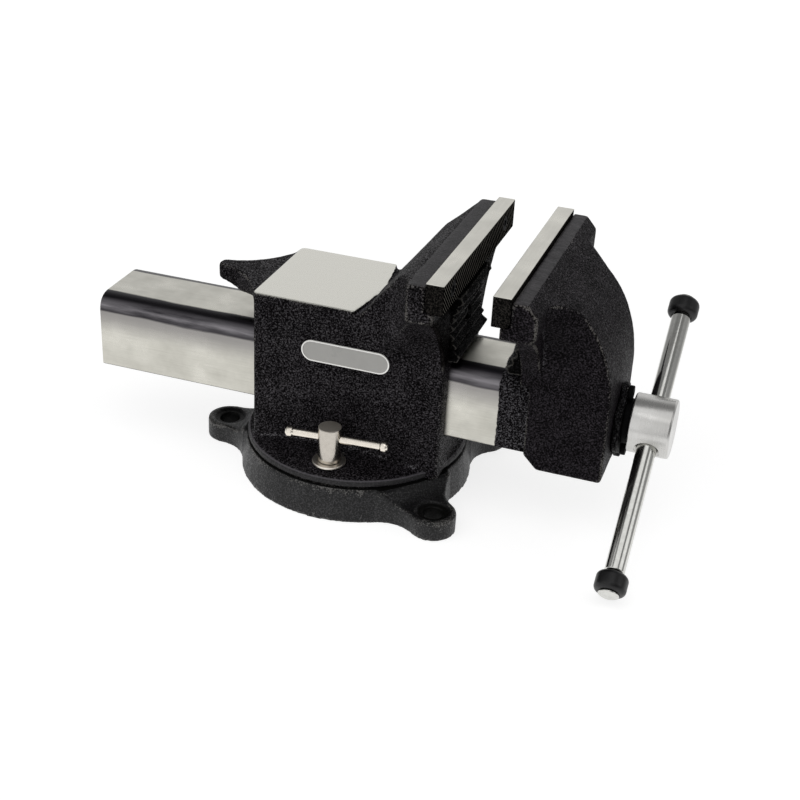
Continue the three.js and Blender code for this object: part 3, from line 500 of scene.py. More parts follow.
@dataclass(frozen=True)
class CastEnamel(Finish):
    """Enamel sprayed thick on an unfinished iron casting, which sets in fine wrinkles.

    The eye sees near black with a glitter of small light grains, worn to pale specks on edges. The grains'
    glints are painted into the colour of their crests, and hollow corners get painted highlights.
    """

    paint: str = "#050405"
    # The crest colour is a painted glint on each grain, paler than the paint.
    crest: str = "#4c484d"
    worn: str = "#7a7773"
    # A painted highlight in hollow corners.
    crease_highlight: str = "#6b696d"
    band: str = "#504d50"
    hollow: str = "#1f1d20"
    grain: float = 0.95
    relief: float = 0.5
    swell: float = 18
    low_shine: float = 0.02
    high_shine: float = 0.5
    roughness: float = 0.5
    crest_from: float = 0.47
    crest_to: float = 0.72
    worn_from: float = 1.66
    crease_highlight_from: float = 1.85
    worn_share: float = 0.7
    band_share: float = 0.5
    band_shine: float = 0.25
    band_stroke: float = 3
    smooth_from: float = WIDE
    ground_from: float = WIDE
    ground_to_x: float = 13.2
    # The anvil's ground steel is drawn paler than the other ground steel, as a painted reflection.
    ground_pale: str = "#e8e7df"
    ground_deep: str = "#dedcd4"
    ground_line: float = 0.7
    ground_depth: float = 0.02

    def lay(self, surface: Layer) -> None:
        """Lays the coat with its worn edges and painted highlights in its corners, the smooth bands and the
        ground pad.

        Args:
            surface: The layer that it is laid into.
        """
        limits = (surface.place[2], self.smooth_from * MM, (self.smooth_from + 0.2) * MM)
        flats = surface.add("MapRange", limits)[0]
        self.coat(surface, surface.add("Attribute", attribute_name="edge")["Fac"], flats)
        if self.smooth_from < WIDE:
            self.smooth(surface, flats)
        self.places(surface)
        if self.ground_from < WIDE:
            self.grind(surface)
        # The value that stands for the whole where a program keeps no pattern here.
        surface.plain_shine = (3 * self.low_shine + self.high_shine) / 4

    def places(self, surface: Layer) -> None:
        """Changes the coat in places of one casting's own."""

    def coat(self, surface: Layer, edge: Socket, flat: Socket) -> None:
        """Draws the wrinkled coat, with painted glints on its crests and painted highlights in its corners.

        Args:
            surface: The layer that it is drawn into.
            edge: How far the point stands out, or lies in a corner below 0.
            flat: Where the wrinkles are thin, from 0 to 1.
        """
        add = surface.add
        # Turned, so that no flat face lies in a plane of the noise's own grid.
        turned = add("Mapping", {"Vector": surface.coords, "Rotation": (0.6, 0.4, 0.3)})[0]
        grains = {"Vector": turned, "Scale": per_mm(self.grain), "Detail": 3, "Roughness": 0.6}
        grain = add("TexNoise", grains)["Fac"]
        swell = add("TexNoise", {"Vector": surface.coords, "Scale": per_mm(self.swell), "Detail": 2})["Fac"]
        lively = add("MapRange", (swell, 0, 1, -0.06, 0.06))[0]
        raised = add("Math", (grain, lively), operation="ADD")[0]
        # Painted highlight: the grains' crests are painted paler, as glints, and made glossier.
        crest = add("MapRange", (raised, self.crest_from, self.crest_to))[0]
        surface.colour = self.paint
        surface.cover(crest, colour=self.crest)
        surface.shine = add("MapRange", (crest, 0, 1, self.low_shine, self.high_shine))[0]
        surface.rough = add("MapRange", (crest, 0, 1, self.roughness + 0.1, self.roughness - 0.15))[0]
        # Only stretches of an edge are worn, and only stretches of a corner get the painted highlight, not
        # their whole length.
        patchy = add("MapRange", (swell, 0, 1, -0.5, 0.5))[0]
        for way, shade, start in ((0.9, self.worn, self.worn_from), (-1.1, self.crease_highlight, self.crease_highlight_from)):
            out = add("Math", (edge, way, patchy), operation="MULTIPLY_ADD")[0]
            ragged = add("Math", (grain, 1.7, out), operation="MULTIPLY_ADD")[0]
            surface.cover(add("MapRange", (ragged, start, start + 0.3, 0, self.worn_share))[0], colour=shade)
        wrinkles = {"Vector": turned, "Scale": per_mm(self.grain * 1.5), "Smoothness": 0.4}
        cells = add("TexVoronoi", wrinkles, feature="SMOOTH_F1")["Distance"]
        height = add("Math", (grain, cells), operation="ADD")[0]
        level = add("MapRange", (flat, 0, 1, 0.8, 0.2))[0]
        relief = {"Height": height, "Strength": level, "Distance": self.relief * MM}
        surface.bump = add("Bump", relief)["Normal"]

    def smooth(self, surface: Layer, flat: Socket) -> None:
        """Brushes thin enamel over the flats that a cutter left on top of the jaws.

        Args:
            surface: The coat.
            flat: The mask of the flats.
        """
        add = surface.add
        across = add("Mapping", {"Vector": surface.coords, "Scale": (0.4, 1, 1)})[0]
        brush = {"Vector": across, "Scale": per_mm(self.band_stroke), "Detail": 6, "Roughness": 0.7}
        light = add("MapRange", (add("TexNoise", brush)["Fac"], 0.38, 0.62))[0]
        brushed = surface.other(colour=self.hollow)
        brushed.cover(light, colour=self.band)
        surface.cover(add("Math", (flat, self.band_share), operation="MULTIPLY")[0], colour=brushed.colour)
        surface.cover(flat, rough=self.roughness, shine=self.band_shine)

    def grind(self, surface: Layer) -> None:
        """Grinds the casting bright above a height, as the anvil's face is.

        Args:
            surface: The coat.
        """
        add, top = surface.add, self.ground_from * MM
        high = add("MapRange", (surface.place[2], top - 0.1 * MM, top))[0]
        near = add("Math", (surface.place[0], self.ground_to_x * MM), operation="LESS_THAN")[0]
        bare = add("Math", (high, near), operation="MULTIPLY")[0]
        # The wheel leaves fine lines along X, drawn coarser than they are so that they show.
        long = add("Mapping", {"Vector": surface.coords, "Scale": (0.04, 1, 1)})[0]
        lines = add("TexNoise", {"Vector": long, "Scale": per_mm(self.ground_line), "Detail": 3})["Fac"]
        steel = surface.other(colour=self.ground_deep)
        steel.cover(lines, colour=self.ground_pale)
        rough = add("MapRange", (lines, 0, 1, 0.2, 0.34))[0]
        bump = add("Bump", {"Height": lines, "Strength": 0.1, "Distance": self.ground_depth * MM})["Normal"]
        surface.cover(bare, colour=steel.colour, rough=rough, bump=bump)
        surface.metal = bare


@dataclass(frozen=True)
class BodyEnamel(CastEnamel):
    """The body's coat: thin on the turned rim of the foot, with a painted highlight along the rim's upper
    edge, painted shade in the gap below it and painted shade under the jaw plate.
    """

    rim_inner: float = 69.2
    rim_outer: float = 71.7
    rim_low: float = 23.7
    rim_high: float = 26.5
    rim_share: float = 0.85
    rim_shade: str = "#201f21"
    # A painted highlight along the rim's upper edge, and painted shade in the gap below the rim.
    rim_highlight: str = "#4e4b50"
    gap_shade: str = "#050505"
    # Painted shade on the front under the jaw plate.
    front_x: float = 64.6
    front_low: float = 103
    front_high: float = 143.4
    front_fade: float = 6
    front_share: float = 0.9
    front_shade: str = "#0c0a0a"

    def places(self, surface: Layer) -> None:
        """Lays the foot's rim, a painted highlight along its upper edge, painted shade in the gap below it,
        and painted shade on the front under the jaw plate.

        Args:
            surface: The layer that it is laid into.
        """
        x, _, up = surface.place
        front = surface.add("Math", (x, self.front_x * MM), operation="GREATER_THAN")[0]
        rim = surface.ring(self.rim_inner, self.rim_outer)
        # Rows: the rim, its painted highlight, painted shade in the gap, painted shade under the plate.
        # Where each is: low, high, fade, mask and share. Then its shade and how strongly it reflects.
        for low, high, fade, part, share, shade, level in (
            (self.rim_low, self.rim_high, 0.2, rim, self.rim_share, self.rim_shade, 0.4),
            (self.rim_high + 0.2, self.rim_high + 0.6, 0.3, rim, self.rim_share, self.rim_highlight, 0.5),
            (0, self.rim_low - 0.3, 0.2, rim, self.rim_share, self.gap_shade, 0.05),
            (self.front_low, self.front_high, self.front_fade, front, self.front_share, self.front_shade, 0),
        ):
            mask = surface.add("Math", (surface.band(up, low, high, fade), part), operation="MULTIPLY")[0]
            some = surface.add("Math", (mask, share), operation="MULTIPLY")[0]
            surface.cover(some, colour=shade, shine=level)


@dataclass(frozen=True)
class BaseEnamel(CastEnamel):
    """The base's coat, with painted shade in the lugs' spot faces and under the foot's edge."""

    spot: float = 10.3
    spot_shine: float = 0.12
    edge_inner: float = 70.5
    edge_outer: float = 75.3
    edge_z: float = 21.6
    edge_shine: float = 0.05

    def places(self, surface: Layer) -> None:
        """Lays painted shade in the lugs' spot faces and on the foot's edge.

        Args:
            surface: The layer that it is laid into.
        """
        add = surface.add
        flat = add("VectorMath", (surface.coords, (1, 1, 0)), operation="MULTIPLY")[0]
        # Painted shade in each lug's spot face.
        for angle in (math.radians(bearing) for bearing in LUG_BEARINGS):
            centre = (LUG_CIRCLE * math.cos(angle) * MM, LUG_CIRCLE * math.sin(angle) * MM, 0)
            far = add("VectorMath", (flat, centre), operation="DISTANCE")["Value"]
            painted_light = add("MapRange", (far, (self.spot + 0.3) * MM, (self.spot - 0.7) * MM))[0]
            surface.cover(painted_light, colour=RECESS_SHADE, shine=self.spot_shine)
        # Painted shade on the foot's edge, in the gap under the body.
        high = add("Math", (surface.place[2], self.edge_z * MM), operation="GREATER_THAN")[0]
        outer = surface.ring(self.edge_inner, self.edge_outer)
        mask = add("Math", (high, outer), operation="MULTIPLY")[0]
        surface.cover(mask, colour=RECESS_SHADE, shine=self.edge_shine)


@dataclass(frozen=True)
class CutSteel(Finish):
    """Bare steel that a wheel, a tool or a belt has cut in one direction.

    The eye sees a pale metal with fine lines, and highlights that smear across them.
    """

    pale: str = "#dedcd3"
    deep: str = "#c6c4bb"
    along: tuple[float, float, float] = (0.03, 1, 1)
    line: float = 0.6
    line_share: float = 0.3
    stain: float = 22
    depth: float = 0.012
    roughness: float = 0.3
    spread: float = 0.12

    def lay(self, surface: Layer) -> None:
        """Lays the cut lines, and slow stains across them.

        Args:
            surface: The layer that it is laid into.
        """
        add = surface.add
        long = add("Mapping", {"Vector": surface.coords, "Scale": self.along})[0]
        cuts = {"Vector": long, "Scale": per_mm(self.line), "Detail": 4, "Roughness": 0.65}
        lines = add("TexNoise", cuts)["Fac"]
        stains = {"Vector": surface.coords, "Scale": per_mm(self.stain), "Detail": 5, "Roughness": 0.55}
        both = add("Mix", {0: self.line_share, 2: add("TexNoise", stains)["Fac"], 3: lines})[0]
        surface.colour = self.deep
        surface.cover(add("MapRange", (both, 0.36, 0.64))[0], colour=self.pale)
        half = self.spread / 2
        surface.rough = add("MapRange", (both, 0.35, 0.65, self.roughness + half, self.roughness - half))[0]
        surface.bump = add("Bump", {"Height": lines, "Strength": 0.3, "Distance": self.depth * MM})["Normal"]
        surface.metal = 1


@dataclass(frozen=True)
class BarSteel(CutSteel):
    """The slide bar: ground on its flats, left dark on its round corners, painted at the jaw, with painted
    shade and painted highlights on it.
    """

    corner: str = "#29272b"
    corner_roughness: float = 0.3
    # A painted highlight along the middle of each round corner.
    corner_highlight: str = "#8a878b"
    highlight_z: float = 91.6
    highlight_reach: float = 4.8
    # Painted shade, darker up the side towards the corner.
    shade: str = "#8f8c8b"
    shade_from: float = 68
    shade_to: float = 87
    shade_y: float = 25.2
    # The neck's enamel, with paler painted glints on its crests, and painted highlights where it meets the
    # jaw.
    enamel: CastEnamel = CastEnamel("neck", "cast_paint", crest="#5e5b61", high_shine=0.9)
    glint_x: float = 116.5
    glint_reach: float = 3
    corner_y: float = 16.8
    corner_z: float = 87
    # Below this height the bottom edge is darkened, as painted shade.
    foot_z: float = 49.3
    inside_y: float = 17.6
    inside_z: float = 88.4
    paint_x: float = 97
    paint_slant: float = 0.05
    streak: float = 6
    wander: float = 1.6

    def lay(self, surface: Layer) -> None:
        """Lays the ground flats, the dark corners and inside, the painted shade and highlights, and the
        painted end.

        Args:
            surface: The layer that it is laid into.
        """
        super().lay(surface)
        add, (x, y, z) = surface.add, surface.place
        across = add("Math", (y,), operation="ABSOLUTE")[0]
        slant = add("Math", (y, self.paint_slant, x), operation="MULTIPLY_ADD")[0]
        long = add("Mapping", {"Vector": surface.coords, "Scale": (0.12, 1, 1)})[0]
        streaks = {"Vector": long, "Scale": per_mm(self.streak), "Detail": 5, "Roughness": 0.6}
        ragged = add("TexNoise", streaks)["Fac"]
        wander = add("MapRange", (ragged, 0, 1, -self.wander * MM, self.wander * MM))[0]
        height, out, edge = (add("Math", (p, wander), operation="ADD")[0] for p in (z, across, slant))
        tall = add("MapRange", (height, (self.corner_z - 0.4) * MM, (self.corner_z + 0.8) * MM))[0]
        wide = add("MapRange", (out, (self.corner_y - 0.4) * MM, (self.corner_y + 0.8) * MM))[0]
        corner = add("Math", (tall, wide), operation="MULTIPLY")[0]
        # The unground inside is left dark, and the bottom edge is darkened too, as painted shade.
        narrow = add("Math", (across, self.inside_y * MM), operation="LESS_THAN")[0]
        below = add("Math", (z, self.inside_z * MM), operation="LESS_THAN")[0]
        inner = add("Math", (narrow, below), operation="MULTIPLY")[0]
        foot = add("Math", (z, self.foot_z * MM), operation="LESS_THAN")[0]
        within = add("Math", (foot, inner), operation="MAXIMUM")[0]
        raw = add("Math", (corner, within), operation="MAXIMUM")[0]
        # Painted shade: the side is darkened towards the corner.
        side = add("Math", (across, self.shade_y * MM), operation="GREATER_THAN")[0]
        rise = (height, self.shade_from * MM, self.shade_to * MM, 0, 0.9)
        painted_light_share = add("MapRange", rise, interpolation_type="SMOOTHSTEP")[0]
        surface.cover(add("Math", (side, painted_light_share), operation="MULTIPLY")[0], colour=self.shade)
        # Painted highlight: the dark scale on the round corner is painted paler along its middle, as a
        # reflection.
        off = add("Math", (height, self.highlight_z * MM), operation="SUBTRACT")[0]
        far = add("Math", (off,), operation="ABSOLUTE")[0]
        highlight_band = add("MapRange", (far, 0, self.highlight_reach * MM, 1, 0))[0]
        uneven = add("MapRange", (ragged, 0.3, 0.6))[0]
        scale = surface.other(colour=self.corner)
        scale.cover(add("Math", (highlight_band, uneven), operation="MULTIPLY")[0], colour=self.corner_highlight)
        surface.cover(raw, colour=scale.colour, rough=self.corner_roughness)
        painted = add("MapRange", (edge, self.paint_x * MM, (self.paint_x + 0.5) * MM))[0]
        # Painted highlights in the enamel where the bar enters the jaw.
        painted_light = add("MapRange", (x, (self.glint_x - self.glint_reach) * MM, self.glint_x * MM, 0, -1))[0]
        paint = surface.other()
        self.enamel.coat(paint, painted_light, add("Math", (painted, 0), operation="MULTIPLY")[0])
        surface.cover(painted, colour=paint.colour, rough=paint.rough, bump=paint.bump)
        surface.metal = add("MapRange", (painted, 0, 1, 1, 0))[0]
        surface.shine, surface.plain_shine = paint.shine, self.enamel.low_shine


@dataclass(frozen=True)
class JawSteel(CutSteel):
    """A hardened jaw plate: dark from heat treatment, its top ground bright with the jaws shut.

    The eye sees a pale flat strip on top and a near black serrated face below it, its shade and its lit
    crests painted.
    """

    dark: str = "#0b0b0b"
    scale: str = "#3d3a37"
    scale_size: float = 0.8
    scale_roughness: float = 0.55
    # A painted highlight on the face's crests, and painted shade on the rest of the face.
    crest: str = "#85827b"
    crest_share: float = 0.9
    sunk: str = "#030303"
    bright_from: float = 169.05
    face_from: float = 72.9
    face_to: float = 102.1
    pitch: float = 2.1
    lean: float = 47
    reach_y: float = 74.2

    def lay(self, surface: Layer) -> None:
        """Lays the bright top over the dark, scaly sides, and the face with painted shade and painted
        highlights on its crests.

        Args:
            surface: The layer that it is laid into.
        """
        super().lay(surface)
        add, (x, y, up) = surface.add, surface.place
        ground = {"colour": surface.colour, "rough": surface.rough}
        scale = {"Vector": surface.coords, "Scale": per_mm(self.scale_size), "Detail": 3}
        surface.colour, surface.rough = self.dark, self.scale_roughness
        surface.cover(add("MapRange", (add("TexNoise", scale)["Fac"], 0.45, 0.7))[0], colour=self.scale)
        # Painted highlights on the crests, which follow the grooves that are cut in the mesh.
        lean, pitch = math.radians(self.lean), self.pitch * MM
        way = (0, math.sin(lean) / pitch, math.cos(lean) / pitch)
        phase = add("VectorMath", (surface.coords, way), operation="DOT_PRODUCT")["Value"]
        part = add("Math", (phase, 0.5), operation="PINGPONG")[0]
        painted_light_share = add("MapRange", (part, 0.15, 0.09, 0, self.crest_share))[0]
        after = add("Math", (x, self.face_from * MM), operation="GREATER_THAN")[0]
        before = add("Math", (x, self.face_to * MM), operation="LESS_THAN")[0]
        between = add("Math", (after, before), operation="MULTIPLY")[0]
        out = add("Math", (y,), operation="ABSOLUTE")[0]
        within = add("Math", (out, self.reach_y * MM), operation="LESS_THAN")[0]
        face = add("Math", (between, within), operation="MULTIPLY")[0]
        # Painted shade: the face is darkened below the plate's own dark, so the grooves between the painted
        # crests are blackest.
        surface.cover(face, colour=self.sunk)
        surface.cover(add("Math", (face, painted_light_share), operation="MULTIPLY")[0], colour=self.crest)
        top = add("MapRange", (up, self.bright_from * MM, (self.bright_from + 0.15) * MM))[0]
        surface.cover(top, **ground)
        surface.metal, surface.shine = top, 0


@dataclass(frozen=True)
class Plating(Finish):
    """Bright plating over turned steel, nickel or chrome.

    The eye sees sharp reflections, broken only by faint handling marks.
    """

    colour: str = "#d2d2d4"
    shade: str = "#b4b3b2"
    mark: float = 3
    mark_depth: float = 0.01
    roughness: float = 0.12
    haze: float = 0.08
    faced_below: float = -WIDE
    faced_above: float = WIDE
    faced_roughness: float = 0.55

    def lay(self, surface: Layer) -> None:
        """Lays the plate with a haze of handling marks, dull where it covers a faced end.

        Args:
            surface: The layer that it is laid into.
        """
        add, up = surface.add, surface.place[2]
        low = add("Math", (up, self.faced_below * MM), operation="LESS_THAN")[0]
        high = add("Math", (up, self.faced_above * MM), operation="GREATER_THAN")[0]
        faced = add("Math", (low, high), operation="MAXIMUM")[0]
        haze = {"Vector": surface.coords, "Scale": per_mm(self.mark), "Detail": 6, "Roughness": 0.7}
        marks = add("TexNoise", haze)["Fac"]
        share = add("MapRange", (marks, 0.45, 0.75))[0]
        surface.colour = self.colour
        surface.cover(share, colour=self.shade)
        surface.rough = add("MapRange", (share, 0, 1, self.roughness, self.roughness + self.haze))[0]
        surface.cover(faced, rough=self.faced_roughness)
        relief = {"Height": marks, "Strength": 0.1, "Distance": self.mark_depth * MM}
        surface.bump, surface.metal = add("Bump", relief)["Normal"], 1


@dataclass(frozen=True)
class PlainCoat(Finish):
    """A coat or solid with a fine even grain: black oxide, moulded rubber or stoved enamel.

    The eye sees one quiet colour whose gloss varies a little from place to place.
    """

    colour: str = "#1a1a1c"
    other: str = "#2b2b2d"
    grain: float = 1
    relief: float = 0.03
    roughness: float = 0.45
    spread: float = 0.12
    metallic: float = 0
    specular: float = 0.4

    def lay(self, surface: Layer) -> None:
        """Lays the grain into colour, gloss and relief.

        Args:
            surface: The layer that it is laid into.
        """
        add = surface.add
        grains = {"Vector": surface.coords, "Scale": per_mm(self.grain), "Detail": 4, "Roughness": 0.6}
        grain = add("TexNoise", grains)["Fac"]
        surface.colour = self.colour
        surface.cover(add("MapRange", (grain, 0.42, 0.68))[0], colour=self.other)
        rough, spread = self.roughness, self.spread
        surface.rough = add("MapRange", (grain, 0, 1, rough + spread, rough - spread))[0]
        surface.bump = add("Bump", {"Height": grain, "Strength": 0.5, "Distance": self.relief * MM})["Normal"]
        surface.metal, surface.shine = self.metallic, self.specular


@dataclass(frozen=True)
class BadgeCoat(PlainCoat):
    """Stoved enamel in the field of a pressed plate, whose rim stands bare and bright."""

    rim: str = "#e6e5e2"
    rim_y: float = -40.72

    def lay(self, surface: Layer) -> None:
        """Lays the enamel, then bares the rim.

        Args:
            surface: The layer that it is laid into.
        """
        super().lay(surface)
        surface.metal = surface.add("Math", (surface.place[1], self.rim_y * MM), operation="LESS_THAN")[0]
        surface.cover(surface.metal, colour=self.rim)


# Each finish that the vise has, by what it is made of and how.
BODY_ENAMEL = BodyEnamel(
    "wrinkle_enamel_body", "cast_paint", smooth_from=166.3, ground_from=126.35, band="#454245",
    band_share=0.35,
)
# A darker, less glinting copy of the body's enamel: painted shade on the moving jaw.
SHADED_JAW_ENAMEL = CastEnamel(
    "wrinkle_enamel_jaw", "cast_paint", crest="#403b41", low_shine=0.03, high_shine=0.16, crest_from=0.45,
    smooth_from=166.3,
)
COVER_ENAMEL = CastEnamel("wrinkle_enamel_cover", "cast_paint", crest="#242326", relief=0.3)
PIPE_JAW_ENAMEL = CastEnamel(
    "thin_enamel_pipe_jaw", "dark_steel", paint="#060606", crest="#1a191a", worn="#6a6864", grain=0.8,
    relief=0.3, low_shine=0, high_shine=0.08, worn_from=1.25, crease_highlight_from=WIDE,
)
BASE_ENAMEL = BaseEnamel(
    "satin_enamel_base", "base_paint", paint="#060607", crest="#29282b", worn="#6f6d6a", grain=0.9,
    relief=0.15, low_shine=0.3, high_shine=0.7, roughness=0.4,
)
BAR_STEEL = BarSteel("ground_steel_bar", "ground_steel", pale="#d6d4cb", deep="#bfbdb4")
FIXED_JAW_STEEL, MOVING_JAW_STEEL = (
    JawSteel(f"hardened_steel_{side}_plate", "ground_steel", deep="#d3d1c9", along=(1, 0.03, 1), lean=lean)
    for side, lean in (("fixed", 47), ("moving", -47))
)
HUB_STEEL = CutSteel(
    "turned_steel_hub", "ground_steel", pale="#d2d1cf", deep="#c2c1be", along=(1, 0.02, 0.02), line=0.5,
    depth=0.005, roughness=0.28, spread=0.08,
)
NICKEL = Plating(
    "nickel_plated_steel", "plated_steel", colour="#c5bfb6", shade="#b9b2a9", roughness=0.2, haze=0.03,
    faced_below=32.1, faced_above=54.9,
)
# Paler copies of the nickel plating, as painted light on the lock's cross bar and washer.
LIT_NICKEL_BAR = Plating(
    "nickel_plated_bar", "plated_steel", colour="#ece5da", shade="#e0d8cc", roughness=0.2, haze=0.03
)
LIT_NICKEL_WASHER = Plating(
    "nickel_plated_washer", "plated_steel", colour="#efe9df", shade="#ddd5ca", roughness=0.35, haze=0.05
)
CHROME = Plating(
    "chromed_steel", "plated_steel", colour="#d6d6d2", shade="#c6c5c1", roughness=0.14, haze=0.06
)
BLACK_OXIDE = PlainCoat(
    "black_oxide_steel", "dark_steel", colour="#070708", other="#111112", roughness=0.6, specular=0.06
)
BRONZE = PlainCoat(
    "sand_cast_bronze", "bronze", colour="#94733c", other="#a98a50", metallic=1, roughness=0.38, relief=0.02
)
RUBBER = PlainCoat(
    "moulded_rubber", "rubber", colour="#070708", other="#131316", grain=0.8, relief=0.04, roughness=0.38
)
PLATE_ENAMEL = BadgeCoat(
    "stoved_enamel_badge", "badge_enamel", colour="#c6c5c1", other="#c0bfbb", grain=12, relief=0.01,
    roughness=0.3,
)


@dataclass
class Bench:
    """The frame that the pieces are set on: its nodes, and the body that each rides."""

    nodes: dict[str, Thing]
    bodies: dict[str, list[str]]

    def set_mesh(self, node: str, mesh: Mesh, finish: Finish, sharp: float | None = 35) -> None:
        """Sets a finished piece where a CAD node is.

        Args:
            node: The node that it stands for.
            mesh: Its mesh in millimetres.
            finish: What it is made of.
            sharp: The turn in degrees from which an edge is shaded sharp, or None for none.
        """
        mesh.transform(Matrix.Scale(MM, 4))
        mesh.shade_smooth()
        if sharp is not None:
            mesh.set_sharp_from_angle(angle=math.radians(sharp))
        mesh.materials.clear()
        mesh.materials.append(finish.material())
        piece = bpy.data.objects.new(f"{node}_piece", mesh)
        bpy.context.collection.objects.link(piece)
        body = next(name for name, members in self.bodies.items() if node in members)
        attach(piece, body)
        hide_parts(node)
        log.info("%s: %d faces, %s, on %s", node, len(mesh.polygons), finish.name, body)

    def set_shape(self, node: str, shape: Shape, finish: Finish, sharp: float | None = 35) -> None:
        """Sets a shape where a CAD node is, as set_mesh does."""
        self.set_mesh(node, shape.mesh(node), finish, sharp)


def neighbour_mean(points: np.ndarray, edges: np.ndarray) -> np.ndarray:
    """Returns the mean of each point's neighbours along the edges.

    Args:
        points: The points in millimetres.
        edges: The two points of each edge.

    Returns:
        One row for each point.
    """
    count, (first, last) = len(points), edges.T
    degree = np.bincount(edges.ravel(), minlength=count).clip(1)
    sums = [np.bincount(first, p[last], count) + np.bincount(last, p[first], count) for p in points.T]
    return np.stack(sums, 1) / degree[:, None]


@dataclass
class Casting:
    """A casting's skin: its CAD solid with every edge softened as sand and enamel leave it.

    Sizes are in millimetres. crisp says what share of the softening each point gets, or all of them.
    """

    node: str
    finish: Finish
    crisp: Callable[[np.ndarray], np.ndarray] | float
    voxel: float = 0.8
    passes: int = 9
    wave: float = 0.05
    faces: int = 90_000
    seed: int = 7
    shape: Shape | None = None
    calm: Callable[[np.ndarray], np.ndarray] | None = None
    full_edge: float = 0.22

    def build(self, bench: Bench) -> None:
        """Softens the node's solid, or the finer shape given for it, and sets it on the bench.

        Args:
            bench: The frame that its pieces are set on.
        """
        voxel = self.voxel * 1
        solid = self.shape or Shape.of_mesh(bench.nodes[self.node].data, MM)
        mesh = through(solid.mesh(), "REMESH", mode="VOXEL", voxel_size=voxel, adaptivity=0)
        self.soften(mesh, voxel)
        thinned = through(mesh, "DECIMATE", ratio=min(1, self.faces / (2 * len(mesh.polygons))))
        self.mark_edges(thinned)
        bench.set_mesh(self.node, thinned, self.finish, None)

    def soften(self, mesh: Mesh, voxel: float) -> None:
        """Rounds the mesh's edges, then adds the slow waves of a casting.

        Args:
            mesh: The even mesh, changed in place.
            voxel: Its spacing.
        """
        points, edges = read(mesh.vertices, "co"), read(mesh.edges, "vertices", 2, np.int32)
        crisp = self.crisp(points) if callable(self.crisp) else np.full(len(points), self.crisp)
        share = 0.5 * crisp[:, None]
        for _ in range(round(self.passes * (self.voxel / voxel) ** 2)):
            points = points + share * (neighbour_mean(points, edges) - points)
        mesh.vertices.foreach_set("co", points.ravel())
        normals = read(mesh.vertex_normals, "vector")
        draw = np.random.default_rng(self.seed)
        wave = np.zeros(len(points))
        for _ in range(24):
            way = draw.normal(size=3)
            way *= 2 * math.pi / draw.uniform(5, 16) / np.linalg.norm(way)
            wave += np.sin(points @ way + draw.uniform(0, 2 * math.pi))
        lift = self.wave * (wave / math.sqrt(12) - 1.5).clip(-3.5, 0) * share[:, 0]
        points = points + normals * lift[:, None]
        mesh.vertices.foreach_set("co", points.ravel())
        mesh.update()

    def mark_edges(self, mesh: Mesh) -> None:
        """Writes how far each point stands out or lies in a corner, for the finish to wear the edges and
        paint highlights into the corners.

        Args:
            mesh: The thinned mesh, changed in place.
        """
        points, edges = read(mesh.vertices, "co"), read(mesh.edges, "vertices", 2, np.int32)
        smooth = points
        for _ in range(8):
            smooth = smooth + 0.6 * (neighbour_mean(smooth, edges) - smooth)
        proud = ((points - smooth) * read(mesh.vertex_normals, "vector")).sum(1)
        if self.calm:
            proud[self.calm(points)] = 0
        layer = mesh.attributes.new("edge", "FLOAT", "POINT")
        layer.data.foreach_set("value", (proud / self.full_edge).clip(-1, 1).astype(np.float32))


def shares(points: np.ndarray, *boxes: tuple[float, ...]) -> np.ndarray:
    """Gives each point its share of the softening.

    Args:
        points: The points in millimetres.
        boxes: A share, then the two X, two Y and two Z limits that it holds in.

    Returns:
        One share for each point, 1 outside the boxes.
    """
    made = np.ones(len(points))
    for share, *box in boxes:
        low, high = np.array(box[0::2]), np.array(box[1::2])
        made[((points >= low) & (points <= high)).all(1)] = share
    return made


@dataclass(frozen=True)
class ScrewSize:
    """A socket head screw, in millimetres."""

    head: float
    head_height: float
    shank: float
    length: float
    key: float

    def shape(self) -> Shape:
        """Makes the screw along X, its head's end at 0 and its shank towards -X.

        Returns:
            The screw.
        """
        neck, end = -self.head_height, -self.length
        corners = [(0, 0), (self.head, 0, 0.5), (self.head, neck, 0.2)]
        corners += [(self.shank, neck), (self.shank, end, 0.6), (0, end)]
        reach = self.key / math.sqrt(3)
        hexagon = [(reach * math.cos(math.pi * i / 3), reach * math.sin(math.pi * i / 3)) for i in range(6)]
        socket = Shape.run(hexagon, Axis.X, neck * 0.6, 1)
        mouth = Shape.turned([(0, -0.5), (reach - 0.5, -0.5), (reach + 0.6, 0.6), (0, 0.6)], Axis.X, 48)
        return Shape.lathe(corners, Axis.X, 48).cut(socket, mouth)


@dataclass
class SwivelBase:
    """The round base that the bench carries."""

    lug_half: float = 12
    lug_share: float = 0.35
    top_share: float = 0.25
    foot_share: float = 0.3

    def build(self, bench: Bench) -> None:
        """Builds the base casting."""
        Casting("swivel_base", BASE_ENAMEL, self.crisp, 0.75, 12, 0.03, 70_000).build(bench)

    def crisp(self, points: np.ndarray) -> np.ndarray:
        """Keeps the machined top, the foot and the spot faces crisp.

        Args:
            points: The points in millimetres.

        Returns:
            One share for each point.
        """
        made = shares(points, (self.foot_share, -WIDE, WIDE, -WIDE, WIDE, -1, 1.5))
        x, y, z = points.T
        made[(z > 15) & (np.hypot(x, y) < 69)] = self.top_share
        for angle in (math.radians(bearing) for bearing in LUG_BEARINGS):
            far = np.hypot(x - LUG_CIRCLE * math.cos(angle), y - LUG_CIRCLE * math.sin(angle))
            made[far < self.lug_half] = self.lug_share
        return made


